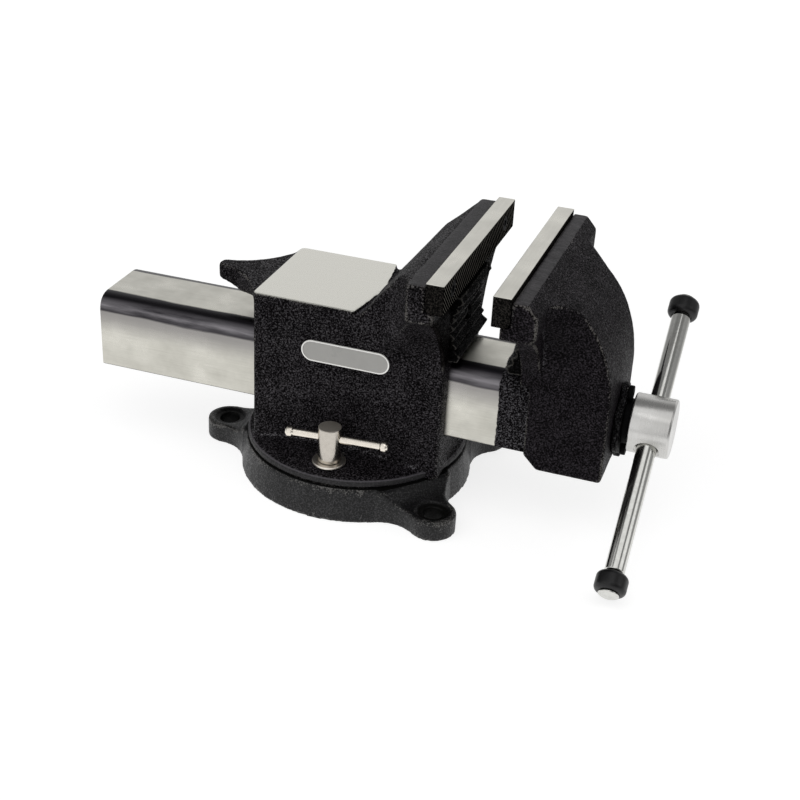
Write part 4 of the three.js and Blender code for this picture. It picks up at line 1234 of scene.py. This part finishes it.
@dataclass
class ViseBody:
    """The body casting with its pivot pin, and the nut block with its two bolts."""

    pivot_radius: float = 11
    pivot_low: float = 10.7
    pivot_high: float = 37.7
    nut_half: float = 14
    nut_low: float = 48.45
    nut_high: float = 87.7
    nut_crown: float = 7
    nut_from: float = 17
    nut_to: float = 57
    nut_bore: float = 11.4
    bolt: ScrewSize = ScrewSize(6.5, 8, 4, 32, 6)
    bolt_x: tuple[float, float] = (25, 49)
    bolt_foot: float = 23
    bolt_top: float = 55.3

    def build(self, bench: Bench) -> None:
        """Builds the casting and what is fixed inside it.

        Args:
            bench: The frame that its pieces are set on.
        """
        Casting("vise_body", BODY_ENAMEL, self.crisp, faces=110_000).build(bench)
        pivot = Shape.pin(self.pivot_radius, self.pivot_low, self.pivot_high, edge=0.8)
        bench.set_shape("pivot_pin", pivot, BLACK_OXIDE)
        half, low, crown = self.nut_half, self.nut_low, (self.nut_high, self.nut_crown)
        section = outline([(-half, low), (half, low), (half, *crown), (-half, *crown)])
        bore = Shape.pin(self.nut_bore, self.nut_from - 1, self.nut_to + 1, Axis.X).moved(z=SPINDLE_Z)
        holes = [Shape.pin(self.bolt.shank + 0.3, low - 1, self.bolt_top).moved(x) for x in self.bolt_x]
        nut = Shape.run(section, Axis.X, self.nut_from, self.nut_to).bevelled(0.5)
        bench.set_shape("spindle_nut", nut.cut(bore, *holes), BRONZE)
        for i, x in enumerate(self.bolt_x):
            bolt = self.bolt.shape().spun(90, Axis.Y).moved(x, 0, self.bolt_foot)
            bench.set_shape(f"nut_bolt_{i + 1}", bolt, BLACK_OXIDE)

    def crisp(self, points: np.ndarray) -> np.ndarray:
        """Keeps the tunnel, anvil, plate seat, lock seats and bores crisp.

        Args:
            points: The points in millimetres.

        Returns:
            One share for each point.
        """
        made = shares(
            points,
            (0.3, -WIDE, WIDE, -31, 31, 45, 101),
            (0.3, -58, 15, -WIDE, WIDE, 124, 128),
            (0.5, 60, WIDE, -WIDE, WIDE, 142, WIDE),
            (0.35, -10, 14, -68, -44, 20, 34),
            (0.35, -10, 14, 44, 68, 20, 34),
            (0.3, -WIDE, WIDE, -WIDE, WIDE, 0, 23.5),
        )
        made[(np.hypot(points[:, 0], points[:, 1]) < 13) & (points[:, 2] < 46)] = 0.3
        return made


@dataclass
class JawFittings:
    """One jaw's hardened plate and pipe jaw with their screws.

    Sizes are about the working face at 0, with the back towards -X; the moving side is turned round.
    """

    side: JawSide
    face_x: float
    half: float = 75
    thick: float = 10.5
    low: float = 151
    high: float = 169.4
    corner: float = 4.5
    edge: float = 0.35
    pitch: float = 2.1
    groove: float = 0.6
    slant: float = 47
    step: float = 0.42
    screw: ScrewSize = ScrewSize(4.9, 5.4, 3, 19, 4.2)
    screw_reach: float = 55
    pipe_half: float = 30
    pipe_thick: float = 16
    pipe_low: float = 101
    pipe_high: float = 143.4
    pipe_hollow: float = 4.6
    pipe_lip: float = 4
    pipe_teeth: int = 6
    pipe_screw: ScrewSize = ScrewSize(4.9, 5, 3, 17, 4.2)
    tooth: float = 1.9
    tooth_depth: float = 3
    seat: float = 0.3

    def build(self, bench: Bench) -> None:
        """Builds the plate, the pipe jaw and their three screws.

        Args:
            bench: The frame that its pieces are set on.
        """
        name, ends = self.side.value, (("near", -self.screw_reach), ("far", self.screw_reach))
        steel = FIXED_JAW_STEEL if self.side is JawSide.FIXED else MOVING_JAW_STEEL
        middle, pipe_middle = (self.low + self.high) / 2, (self.pipe_low + self.pipe_high) / 2
        depth = self.screw.head_height + 2 * self.seat
        rooms = [part.moved(0, y, middle) for _, y in ends for part in self.screw_room(self.screw, depth)]
        bench.set_shape(f"{name}_jaw_plate", self.placed(self.plate().cut(*rooms)), steel, 40)
        for end, y in ends:
            screw = self.screw.shape().moved(-self.seat, y, middle)
            bench.set_shape(f"{name}_plate_screw_{end}", self.placed(screw), BLACK_OXIDE)
        sunk = self.pipe_hollow + self.tooth
        rooms = self.screw_room(self.pipe_screw, sunk + self.pipe_screw.head_height + 2 * self.seat)
        pipe_jaw = self.placed(self.pipe_jaw().cut(*(part.moved(0, 0, pipe_middle) for part in rooms)))

        def round_screw(points: np.ndarray) -> np.ndarray:
            """Returns which points are at the screw's hole, where no pipe rubs."""
            return np.hypot(points[:, 1], points[:, 2] - pipe_middle) < self.pipe_screw.head + 2

        Casting(
            f"{name}_pipe_jaw", PIPE_JAW_ENAMEL, 0.9, 0.45, 4, 0.03, 30_000, 5, pipe_jaw, round_screw
        ).build(bench)
        screw = self.pipe_screw.shape().moved(-sunk - self.seat, 0, pipe_middle)
        bench.set_shape(f"{name}_pipe_jaw_screw", self.placed(screw), BLACK_OXIDE)

    def placed(self, shape: Shape) -> Shape:
        """Puts a shape made about the face where its jaw is."""
        return shape.spun(180 if self.side is JawSide.MOVING else 0).moved(self.face_x)

    def screw_room(self, size: ScrewSize, depth: float) -> tuple[Shape, Shape]:
        """Returns the two cutters for a screw: its shank and its head down to a depth."""
        shank = Shape.pin(size.shank + self.seat, -size.length - 1, 1, Axis.X)
        return shank, Shape.pin(size.head + 0.4, -depth, 1, Axis.X)

    def plate(self) -> Shape:
        """Makes the plate about its face, which is cut with slanting grooves.

        Returns:
            The plate, without its screws' room.
        """
        edge, step, tall = self.edge, self.step * 1, self.high - self.low
        corners = [(-self.thick, self.high, edge), (-self.thick, self.low, self.corner), (-edge, self.low)]
        back = [(-edge, self.high), *outline(corners, steps=5, closed=False)]
        heights = np.linspace(self.low + edge, self.high - edge, round(tall / step))
        places = np.linspace(-self.half + edge, self.half - edge, round(2 * self.half / step))
        angle = math.radians(self.slant)
        y, z = np.meshgrid(places, heights, indexing="ij")
        phase = (y * math.sin(angle) + z * math.cos(angle)) / self.pitch
        valley = 1 - np.abs(2 * (phase - np.floor(phase)) - 1)
        rim = np.minimum.reduce([self.high - z, z - self.low, self.half - np.abs(y)])
        depth = self.groove * valley * (rim / 1.2 - 0.3).clip(0, 1)
        rows = np.array(
            [
                [(-d, place, h) for d, h in zip(depths, heights)] + [(a, place, b) for a, b in back]
                for place, depths in zip(places, depth)
            ]
        )
        centre = np.array((-self.thick / 2, 0, (self.low + self.high) / 2))
        caps = centre + (rows[[0, -1]] - centre) * (1 - edge / np.array((self.thick / 2, 1, tall / 2)))
        caps[:, :, 1] = ((-self.half,), (self.half,))
        return Shape.skin(np.concatenate((caps[:1], rows, caps[1:])))

    def pipe_jaw(self) -> Shape:
        """Makes the toothed pipe jaw about the plate's face.

        Returns:
            The pipe jaw, without its screw's room.
        """
        corners: list[Corner] = [(-self.pipe_thick, self.pipe_low, 0.8), (-self.tooth, self.pipe_low, 1)]
        rise = self.pipe_high - self.pipe_low - 2 * self.pipe_lip
        for step in range(2 * self.pipe_teeth + 1):
            share = step / (2 * self.pipe_teeth)
            hollow = self.pipe_hollow * (1 - (2 * share - 1) ** 2)
            valley = self.tooth_depth if step % 2 else 0
            corners.append((-hollow - valley, self.pipe_low + self.pipe_lip + rise * share, 0.8))
        corners += [(-self.tooth, self.pipe_high, 1), (-self.pipe_thick, self.pipe_high, 0.8)]
        return Shape.run(outline(corners, steps=3), Axis.Y, -self.pipe_half, self.pipe_half)


@dataclass
class LockSet:
    """One swivel lock: its bolt, washer, nut post and sliding cross bar."""

    side: Side
    x: float = 1.954
    reach: float = 55.966
    turn: float = 5
    shift: float = 4.5
    head_half: float = 8.5
    head_low: float = 11.9
    head_high: float = 16.9
    shank: float = 5
    shank_top: float = 42.9
    washer_low: float = 30.3
    washer_high: float = 31.9
    washer_radius: float = 10.5
    post_low: float = 32.2
    post_high: float = 55.2
    post_radius: float = 7.25
    bore_top: float = 43.2
    bar_z: float = 47.2
    bar_radius: float = 2.6
    bar_end: float = 3.5
    bar_end_length: float = 5
    bar_half: float = 32.5

    def build(self, bench: Bench) -> None:
        """Builds the four pieces of the lock.

        Args:
            bench: The frame that its pieces are set on.
        """
        turn, half = -self.turn * self.side.value, self.head_half
        head = Shape.run(block((-half, -half), (half, half), 1.2), Axis.Z, self.head_low, self.head_high)
        bolt = head.bevelled(0.4).fused(Shape.pin(self.shank, self.head_high - 1, self.shank_top, edge=0.7))
        washer = Shape.ring(self.shank + 0.4, self.washer_radius, self.washer_low, self.washer_high, 0.35)
        for name, shape, angle, finish in (
            ("bolt", bolt, 0, BLACK_OXIDE),
            ("washer", washer, 0, LIT_NICKEL_WASHER),
            ("nut", self.post(), turn, NICKEL),
            ("bar", self.bar(), turn, LIT_NICKEL_BAR),
        ):
            placed = shape.spun(angle).moved(self.x, self.reach * self.side.value)
            bench.set_shape(f"{self.side.name.lower()}_lock_{name}", placed, finish)

    def post(self) -> Shape:
        """Makes the nut post: chamfered on top, bored from below and across.

        Returns:
            The post.
        """
        bore, low, high, past = self.shank + 0.3, self.post_low, self.post_high, self.post_radius + 2
        corners = [(0, self.bore_top), (bore, self.bore_top), (bore, low, 0.4), (self.post_radius, low, 0.5)]
        corners += [(self.post_radius, high, 0.7), (0, high)]
        cross = Shape.pin(self.bar_radius + 0.4, -past, past, Axis.X).moved(z=self.bar_z)
        return Shape.lathe(corners, facets=96, steps=4).cut(cross)

    def bar(self) -> Shape:
        """Makes the cross bar with its two swaged ends.

        Returns:
            The bar.
        """
        rise, inner = self.bar_end - self.bar_radius, self.bar_half - self.bar_end_length
        ends = [
            (self.bar_radius - 0.3, self.bar_half, 0.3),
            (self.bar_end, self.bar_half - rise - 0.3, 0.8),
            (self.bar_end, inner + rise, 0.8),
            (self.bar_radius, inner, 0.5),
        ]
        lower = [(r, -place, size) for r, place, size in ends]
        corners = [(0, -self.bar_half), *lower, *reversed(ends), (0, self.bar_half)]
        return Shape.lathe(corners, Axis.X, 40).moved(self.shift, 0, self.bar_z)


@dataclass
class NamePlate:
    """The pill-shaped plate on the near side of the body, left blank."""

    x: float = 4.5
    z: float = 96
    length: float = 57
    height: float = 14
    back: float = -39.9
    thick: float = 1
    rim: float = 0.9
    sunk: float = 0.3

    def build(self, bench: Bench) -> None:
        """Builds the plate with a rim that stands round its blank field.

        Args:
            bench: The frame that its pieces are set on.
        """
        front = self.back - self.thick
        plate = Shape.run(self.pill(0), Axis.Y, front, self.back).bevelled(0.25)
        field = Shape.run(self.pill(self.rim), Axis.Y, front - 1, front + self.sunk)
        bench.set_shape("badge_plate", plate.cut(field), PLATE_ENAMEL)

    def pill(self, inset: float) -> Path:
        """Returns the plate's outline, drawn in by a distance.

        Args:
            inset: The distance in millimetres.

        Returns:
            The outline.
        """
        radius, reach = self.height / 2 - inset, (self.length - self.height) / 2
        turns = [(way * reach, math.radians(180 * i / 32 - way * 90)) for way in (1, -1) for i in range(33)]
        return [(self.x + c + radius * math.cos(a), self.z + radius * math.sin(a)) for c, a in turns]


@dataclass
class MovingJaw:
    """The moving jaw casting with its spindle cover and screws."""

    screw: ScrewSize = ScrewSize(4.6, 2.6, 2.5, 13, 3.2)
    cover_x: float = 174.4
    cover_reach: float = 19

    def build(self, bench: Bench) -> None:
        """Builds both castings and the cover's two screws.

        Args:
            bench: The frame that its pieces are set on.
        """
        Casting("moving_jaw", SHADED_JAW_ENAMEL, self.crisp, seed=11).build(bench)
        Casting("spindle_cover", COVER_ENAMEL, 0.8, 0.4, 8, 0.02, 24_000, 13).build(bench)
        for name, way in (("lower", -1), ("upper", 1)):
            screw = self.screw.shape().moved(self.cover_x, 0, SPINDLE_Z + way * self.cover_reach)
            bench.set_shape(f"cover_screw_{name}", screw, BLACK_OXIDE)

    def crisp(self, points: np.ndarray) -> np.ndarray:
        """Keeps the bar's socket, the plate seat and the bores crisp.

        Args:
            points: The points in millimetres.

        Returns:
            One share for each point.
        """
        made = shares(
            points,
            (0.3, 100, 148, -30, 30, 40, 100),
            (0.5, 100, 114, -WIDE, WIDE, 142, WIDE),
            (0.3, 150, WIDE, -6, 6, 45, 95),
        )
        made[np.hypot(points[:, 1], points[:, 2] - SPINDLE_Z) < 13] = 0.3
        return made


@dataclass
class SlideBar:
    """The box slide that carries the moving jaw, and its two pins."""

    rear: float = -170.1
    front: float = 145.9
    half: float = 27.7
    low: float = 48.5
    high: float = 97.8
    corner: float = 11.6
    edge: float = 1.5
    inner: float = 17
    roof: float = 88
    pin_x: float = 132.15
    pin_y: float = 22.35
    pin_radius: float = 3
    pin_low: float = 43.8
    pin_high: float = 58.8

    def build(self, bench: Bench) -> None:
        """Builds the bar and the pins that hold it in the moving jaw.

        Args:
            bench: The frame that its pieces are set on.
        """
        right = [(self.inner, self.roof, self.edge), (self.inner, self.low, 0.5)]
        right += [(self.half, self.low, self.edge), (self.half, self.high, self.corner)]
        left = [(-y, z, size) for y, z, size in reversed(right)]
        section = outline([*left[1:], *right, left[0]], steps=14)
        bar = Shape.run(section, Axis.X, self.rear, self.front).bevelled(0.5, 3, 60)
        hole = Shape.pin(self.pin_radius + 0.3, self.low - 1, self.pin_high + 0.3)
        pin = Shape.pin(self.pin_radius, self.pin_low, self.pin_high, edge=0.5)
        for end, y in (("near", -self.pin_y), ("far", self.pin_y)):
            bench.set_shape(f"slide_bar_pin_{end}", pin.moved(self.pin_x, y), BLACK_OXIDE)
        holes = [hole.moved(self.pin_x, y) for y in (-self.pin_y, self.pin_y)]
        bench.set_shape("slide_bar", bar.cut(*holes), BAR_STEEL)


@dataclass
class SpindleSet:
    """The main screw with its hub, and the collar, pin and washer on it."""

    thread: float = 11
    root: float = 8.7
    pitch: float = 6
    crest_share: float = 0.17
    root_share: float = 0.36
    steps: int = 36
    tail: float = -92
    thread_end: float = 130.9
    journal: float = 10
    hub_from: float = 175.7
    hub_to: float = 201.1
    hub: float = 18.3
    cross: float = 6.4
    collar: float = 15
    collar_from: float = 136.9
    collar_to: float = 145.9
    pin_radius: float = 2.2
    washer: float = 14
    washer_from: float = 171.8
    washer_to: float = 175.4

    def build(self, bench: Bench) -> None:
        """Builds the spindle and what turns with it.

        Args:
            bench: The frame that its pieces are set on.
        """
        middle, reach = (self.collar_from + self.collar_to) / 2, self.collar
        hole = Shape.pin(self.pin_radius + 0.3, -reach - 2, reach + 2).moved(middle)
        pin = Shape.pin(self.pin_radius, 0.3 - reach, reach - 0.3, edge=0.4).moved(middle)
        collar = Shape.ring(self.journal + 0.3, reach, self.collar_from, self.collar_to, 0.6, Axis.X)
        washer = Shape.ring(self.journal + 0.4, self.washer, self.washer_from, self.washer_to, 0.4, Axis.X)
        for name, shape, finish in (
            ("spindle", self.spindle(middle), HUB_STEEL),
            ("spindle_collar", collar.cut(hole), BLACK_OXIDE),
            ("collar_pin", pin, BLACK_OXIDE),
            ("thrust_washer", washer, BLACK_OXIDE),
        ):
            bench.set_shape(name, shape.moved(z=SPINDLE_Z), finish)

    def spindle(self, pin_x: float) -> Shape:
        """Makes the screw about X: thread, journal, and the hub with its cross bore.

        Args:
            pin_x: Where the collar's pin goes through it.

        Returns:
            The screw.
        """
        start, stop, past = self.hub_from, self.hub_to, self.hub + 3
        corners = [(0, self.thread_end), (self.journal, self.thread_end), (self.journal, start, 0.3)]
        corners += [(self.hub, start, 1.4), (self.hub, stop, 1.6), (0, stop)]
        cross, flared = self.cross, self.cross + 1.4
        flare = [(0, past), (flared, past), (flared, self.hub - 0.6), (cross, self.hub - 2)]
        mouth = Shape.lathe([*((r, -z) for r, z in flare), *reversed(flare)], facets=64)
        bore = mouth.spun(HANDLE_ANGLE - 90, Axis.X).moved((start + stop) / 2)
        hole = Shape.pin(self.pin_radius + 0.3, -self.collar, self.collar).moved(pin_x)
        return Shape.lathe(corners, Axis.X, 96, 5).fused(self.rod()).cut(bore, hole)

    def rod(self) -> Shape:
        """Makes the threaded rod: the ridge's outline swept along a right-hand helix.

        Returns:
            The closed rod.
        """
        root, crest = self.pitch * self.root_share, self.pitch * self.crest_share
        section = [(-root, self.root), (-crest, self.thread), (crest, self.thread), (root, self.root)]
        turn, side = self.steps, len(section)
        total = int((self.thread_end - self.tail) / self.pitch * turn)
        points = []
        for step in range(total + 1):
            angle, x = 2 * math.pi * step / turn, self.tail + self.pitch * step / turn
            points += [(x + shift, r * math.cos(angle), r * math.sin(angle)) for shift, r in section]
        faces: list[tuple[int, ...]] = []
        for low in range(0, total * side, side):
            faces += [(low + i, low + i + 1, low + side + i + 1, low + side + i) for i in range(side - 1)]
            after = low + turn * side
            if after < total * side:
                faces.append((low + side - 1, after, after + side, low + 2 * side - 1))
        first = [step * side for step in range(turn, -1, -1)] + list(range(1, side))
        last = [(total - turn + step) * side + side - 1 for step in range(turn + 1)]
        last += [total * side + i for i in range(side - 2, -1, -1)]
        for edge, x in ((first, self.tail - root), (last, self.thread_end + root)):
            faces += [(len(points), edge[(i + 1) % len(edge)], edge[i]) for i in range(len(edge))]
            points.append((x, 0, 0))
        return Shape(np.array(points), faces)


@dataclass
class Handle:
    """The sliding handle: its bar and the two rubber knobs."""

    x: float = 188.4
    radius: float = 6
    upper: float = 87.5
    lower: float = 107
    neck: float = 4.6
    rivet: float = 6.2
    rivet_length: float = 1.4
    knob: float = 9.5
    knob_half: float = 6.25
    knob_round: float = 3.2
    dish: float = 0.9
    seat: float = 0.3

    def build(self, bench: Bench) -> None:
        """Builds the bar and its knobs.

        Args:
            bench: The frame that its pieces are set on.
        """
        for name, shape, finish, sharp in (
            ("bar", self.bar(), CHROME, 35),
            ("knob_upper", self.grip().moved(z=self.upper), RUBBER, 60),
            ("knob_lower", self.grip().moved(z=-self.lower), RUBBER, 60),
        ):
            placed = shape.spun(HANDLE_ANGLE - 90, Axis.X).moved(self.x, 0, SPINDLE_Z)
            bench.set_shape(f"handle_{name}", placed, finish, sharp)

    def bar(self) -> Shape:
        """Makes the bar with its shoulders, necks and riveted heads.

        Returns:
            The bar.
        """
        half, shoulder, top = self.knob_half, self.radius - self.neck, self.knob_half + self.seat
        profile = [
            (self.radius, -half - shoulder, 0.8),
            (self.neck, -half, 0.4),
            (self.neck, half),
            (self.rivet, top, 0.2),
            (self.rivet, top + self.rivet_length / 2, 0.6),
            (self.neck, top + self.rivet_length, 0.6),
            (0, top + self.rivet_length),
        ]
        upper = [(r, self.upper + place, *size) for r, place, *size in profile]
        lower = [(r, -self.lower - place, *size) for r, place, *size in reversed(profile)]
        return Shape.lathe(lower + upper, steps=4)

    def grip(self) -> Shape:
        """Makes one knob: a thick ring with a full round rim and a shallow groove at each face.

        Returns:
            The knob, about its own middle.
        """
        bore, half, size = self.neck + self.seat, self.knob_half - self.seat, self.knob_round
        dish, floor, centre = bore + self.dish, half - self.dish, self.knob - size
        rims = [(way, math.radians(45 * way - 45 + 10 * i)) for way in (-1, 1) for i in range(10)]
        arcs = [(centre + size * math.cos(a), way * (half - size) + size * math.sin(a)) for way, a in rims]
        corners = [(bore, -floor, 0.2), (dish, -floor, 0.3), *arcs, (dish, floor, 0.3), (bore, floor, 0.2)]
        path = outline(corners, steps=9)
        return Shape.turned(path + path[:1])


@dataclass(frozen=True)
class Studio:
    """A white floor under soft lamps, in a pale room.

    The floor and the room show white to the camera and in reflections, and light at a plain level.
    """

    floor_half: float = 4
    floor_z: float = -0.0002
    floor_colour: str = "#b4b4b4"
    floor_glow: float = 0.78
    sheet_from: float = 0.35
    sheet_to: float = 0.65
    far_share: float = 0.4
    lamp_share: float = 0.35
    plain_level: float = 0.31
    # Each lamp's name, place in metres, side in metres and power in watts.
    lamps: tuple = (
        ("key", (-0.75, -1.45, 1.0), 2.8, 17),
        ("top", (0.3, -0.5, 1.9), 1.4, 5),
        ("side", (1.5, -0.1, 0.9), 0.9, 2),
    )

    def build(self) -> None:
        """Builds the floor and the room, and hangs the square soft lamps that face the vise."""
        self.floor()
        self.room()
        for name, place, size, power in self.lamps:
            data = bpy.data.lights.new(name, "AREA")
            data.size, data.energy = size, power
            lamp = bpy.data.objects.new(name, data)
            lamp.location = place
            lamp.rotation_mode = "QUATERNION"
            lamp.rotation_quaternion = (Vector((0, 0, 0.08)) - Vector(place)).to_track_quat("-Z", "Y")
            bpy.context.collection.objects.link(lamp)

    def seen(self, tree: bpy.types.NodeTree) -> Socket:
        """Returns a mask of the rays that show the background: camera, gloss and glass.

        Args:
            tree: The material's or the world's nodes.

        Returns:
            The mask.
        """
        rays = add_node(tree, "LightPath")
        camera, gloss, glass = (rays[f"Is {kind} Ray"] for kind in ("Camera", "Glossy", "Transmission"))
        direct = add_node(tree, "Math", (camera, gloss), operation="MAXIMUM")[0]
        return add_node(tree, "Math", (direct, glass), operation="MAXIMUM")[0]

    def floor(self) -> None:
        """Builds the floor, which keeps the vise's shadow."""
        mesh = bpy.data.meshes.new("floor")
        half = self.floor_half
        corners = [(x, y, 0) for x, y in block((-half, -half), (half, half))]
        mesh.from_pydata(corners, [], [(0, 1, 2, 3)])
        floor = bpy.data.objects.new("floor", mesh)
        floor.location.z = self.floor_z
        bpy.context.collection.objects.link(floor)
        material = bpy.data.materials.new("white_paper")
        material.use_nodes = True
        tree = material.node_tree
        tree.nodes.clear()
        paper = add_node(tree, "BsdfDiffuse", {"Color": self.floor_colour})[0]
        # In reflections the white sheet ends, so that round bright parts get their dark flanks.
        place = add_node(tree, "TexCoord")["Object"]
        out = add_node(tree, "VectorMath", (place,), operation="LENGTH")["Value"]
        limits = (out, self.sheet_from, self.sheet_to, 1, self.far_share)
        sheet = add_node(tree, "MapRange", limits, interpolation_type="SMOOTHSTEP")[0]
        mirrored = add_node(tree, "Math", (sheet, self.floor_glow), operation="MULTIPLY")[0]
        # To the camera it glows fully where the lamps and the vise's shadow no longer reach.
        plain = add_node(tree, "MapRange", (out, self.sheet_from, 2 * self.sheet_to, self.floor_glow, 1))[0]
        direct = add_node(tree, "LightPath")["Is Camera Ray"]
        strength = add_node(tree, "Mix", {0: direct, 2: mirrored, 3: plain})[0]
        masked = add_node(tree, "Math", (self.seen(tree), strength), operation="MULTIPLY")[0]
        glow = add_node(tree, "Emission", {"Strength": masked})[0]
        add_node(tree, "OutputMaterial", {"Surface": add_node(tree, "AddShader", (paper, glow))[0]})
        mesh.materials.append(material)

    def room(self) -> None:
        """Builds the room: white at the horizon and darker overhead in reflections."""
        world = bpy.data.worlds.new("room")
        world.use_nodes = True
        bpy.context.scene.world = world
        tree = world.node_tree
        tree.nodes.clear()
        x, y, z = add_node(tree, "SeparateXYZ", (add_node(tree, "TexCoord")["Generated"],))
        aside = add_node(tree, "Math", (x,), operation="ABSOLUTE")[0]
        shade: Value = 1
        # Darker overhead and beside, and behind the key lamp, whose mirror image in a flat top is near white.
        for limits in (
            (z, 0.5, 0.85, 0.8, 0.22),
            (aside, 0.5, 0.8, 1, self.far_share),
            (y, -0.45, -0.15, self.lamp_share, 1),
        ):
            part = add_node(tree, "MapRange", limits, interpolation_type="SMOOTHSTEP")[0]
            shade = add_node(tree, "Math", (shade, part), operation="MULTIPLY")[0]
        direct = add_node(tree, "LightPath")["Is Camera Ray"]
        shown = add_node(tree, "Math", (shade, direct), operation="MAXIMUM")[0]
        strength = add_node(tree, "Mix", {0: self.seen(tree), 2: self.plain_level, 3: shown})[0]
        back = add_node(tree, "Background", {"Color": "#ffffff", "Strength": strength})[0]
        add_node(tree, "OutputWorld", {"Surface": back})


@dataclass(frozen=True)
class Viewpoint:
    """Where the photograph was taken from. Angles are in degrees and lengths in millimetres."""

    azimuth: float = 17.65
    elevation: float = 28.54
    roll: float = 3.08
    distance: float = 1041.45
    target: tuple[float, float, float] = (-7.77, 112.17, -12.6)
    focal_px: float = 1420.81
    image_px: float = 800
    sensor: float = 36

    def build(self) -> None:
        """Sets the scene's camera."""
        a, e, r = (math.radians(angle) for angle in (self.azimuth, self.elevation, self.roll))
        back = Vector((math.sin(a) * math.cos(e), -math.cos(a) * math.cos(e), math.sin(e)))
        level = Vector((math.cos(a), math.sin(a), 0))
        upright = back.cross(level)
        right = level * math.cos(r) + upright * math.sin(r)
        above = upright * math.cos(r) - level * math.sin(r)
        data = bpy.data.cameras.new("photo_camera")
        data.sensor_width = self.sensor
        data.lens = self.sensor * self.focal_px / self.image_px
        data.clip_start, data.clip_end = 0.05, 50
        camera = bpy.data.objects.new("photo_camera", data)
        turn = Matrix((right, above, back)).transposed().to_4x4()
        place = (Vector(self.target) + back * self.distance) * MM
        camera.matrix_world = Matrix.Translation(place) @ turn
        bpy.context.collection.objects.link(camera)
        bpy.context.scene.camera = camera


def main() -> None:
    """Builds the whole scene."""
    logging.basicConfig(level=logging.INFO, format="%(message)s")
    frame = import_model()
    bench = Bench(frame["nodes"], frame["record"]["behaviour"]["bodies"])
    bpy.context.scene.view_settings.view_transform = "Standard"
    Viewpoint().build()
    Studio().build()
    for part in (
        SwivelBase(),
        ViseBody(),
        JawFittings(JawSide.FIXED, 73.6),
        JawFittings(JawSide.MOVING, 101.4),
        LockSet(Side.FRONT),
        LockSet(Side.REAR),
        NamePlate(),
        MovingJaw(),
        SlideBar(),
        SpindleSet(),
        Handle(),
    ):
        part.build(bench)


if __name__ == "__main__":
    main()
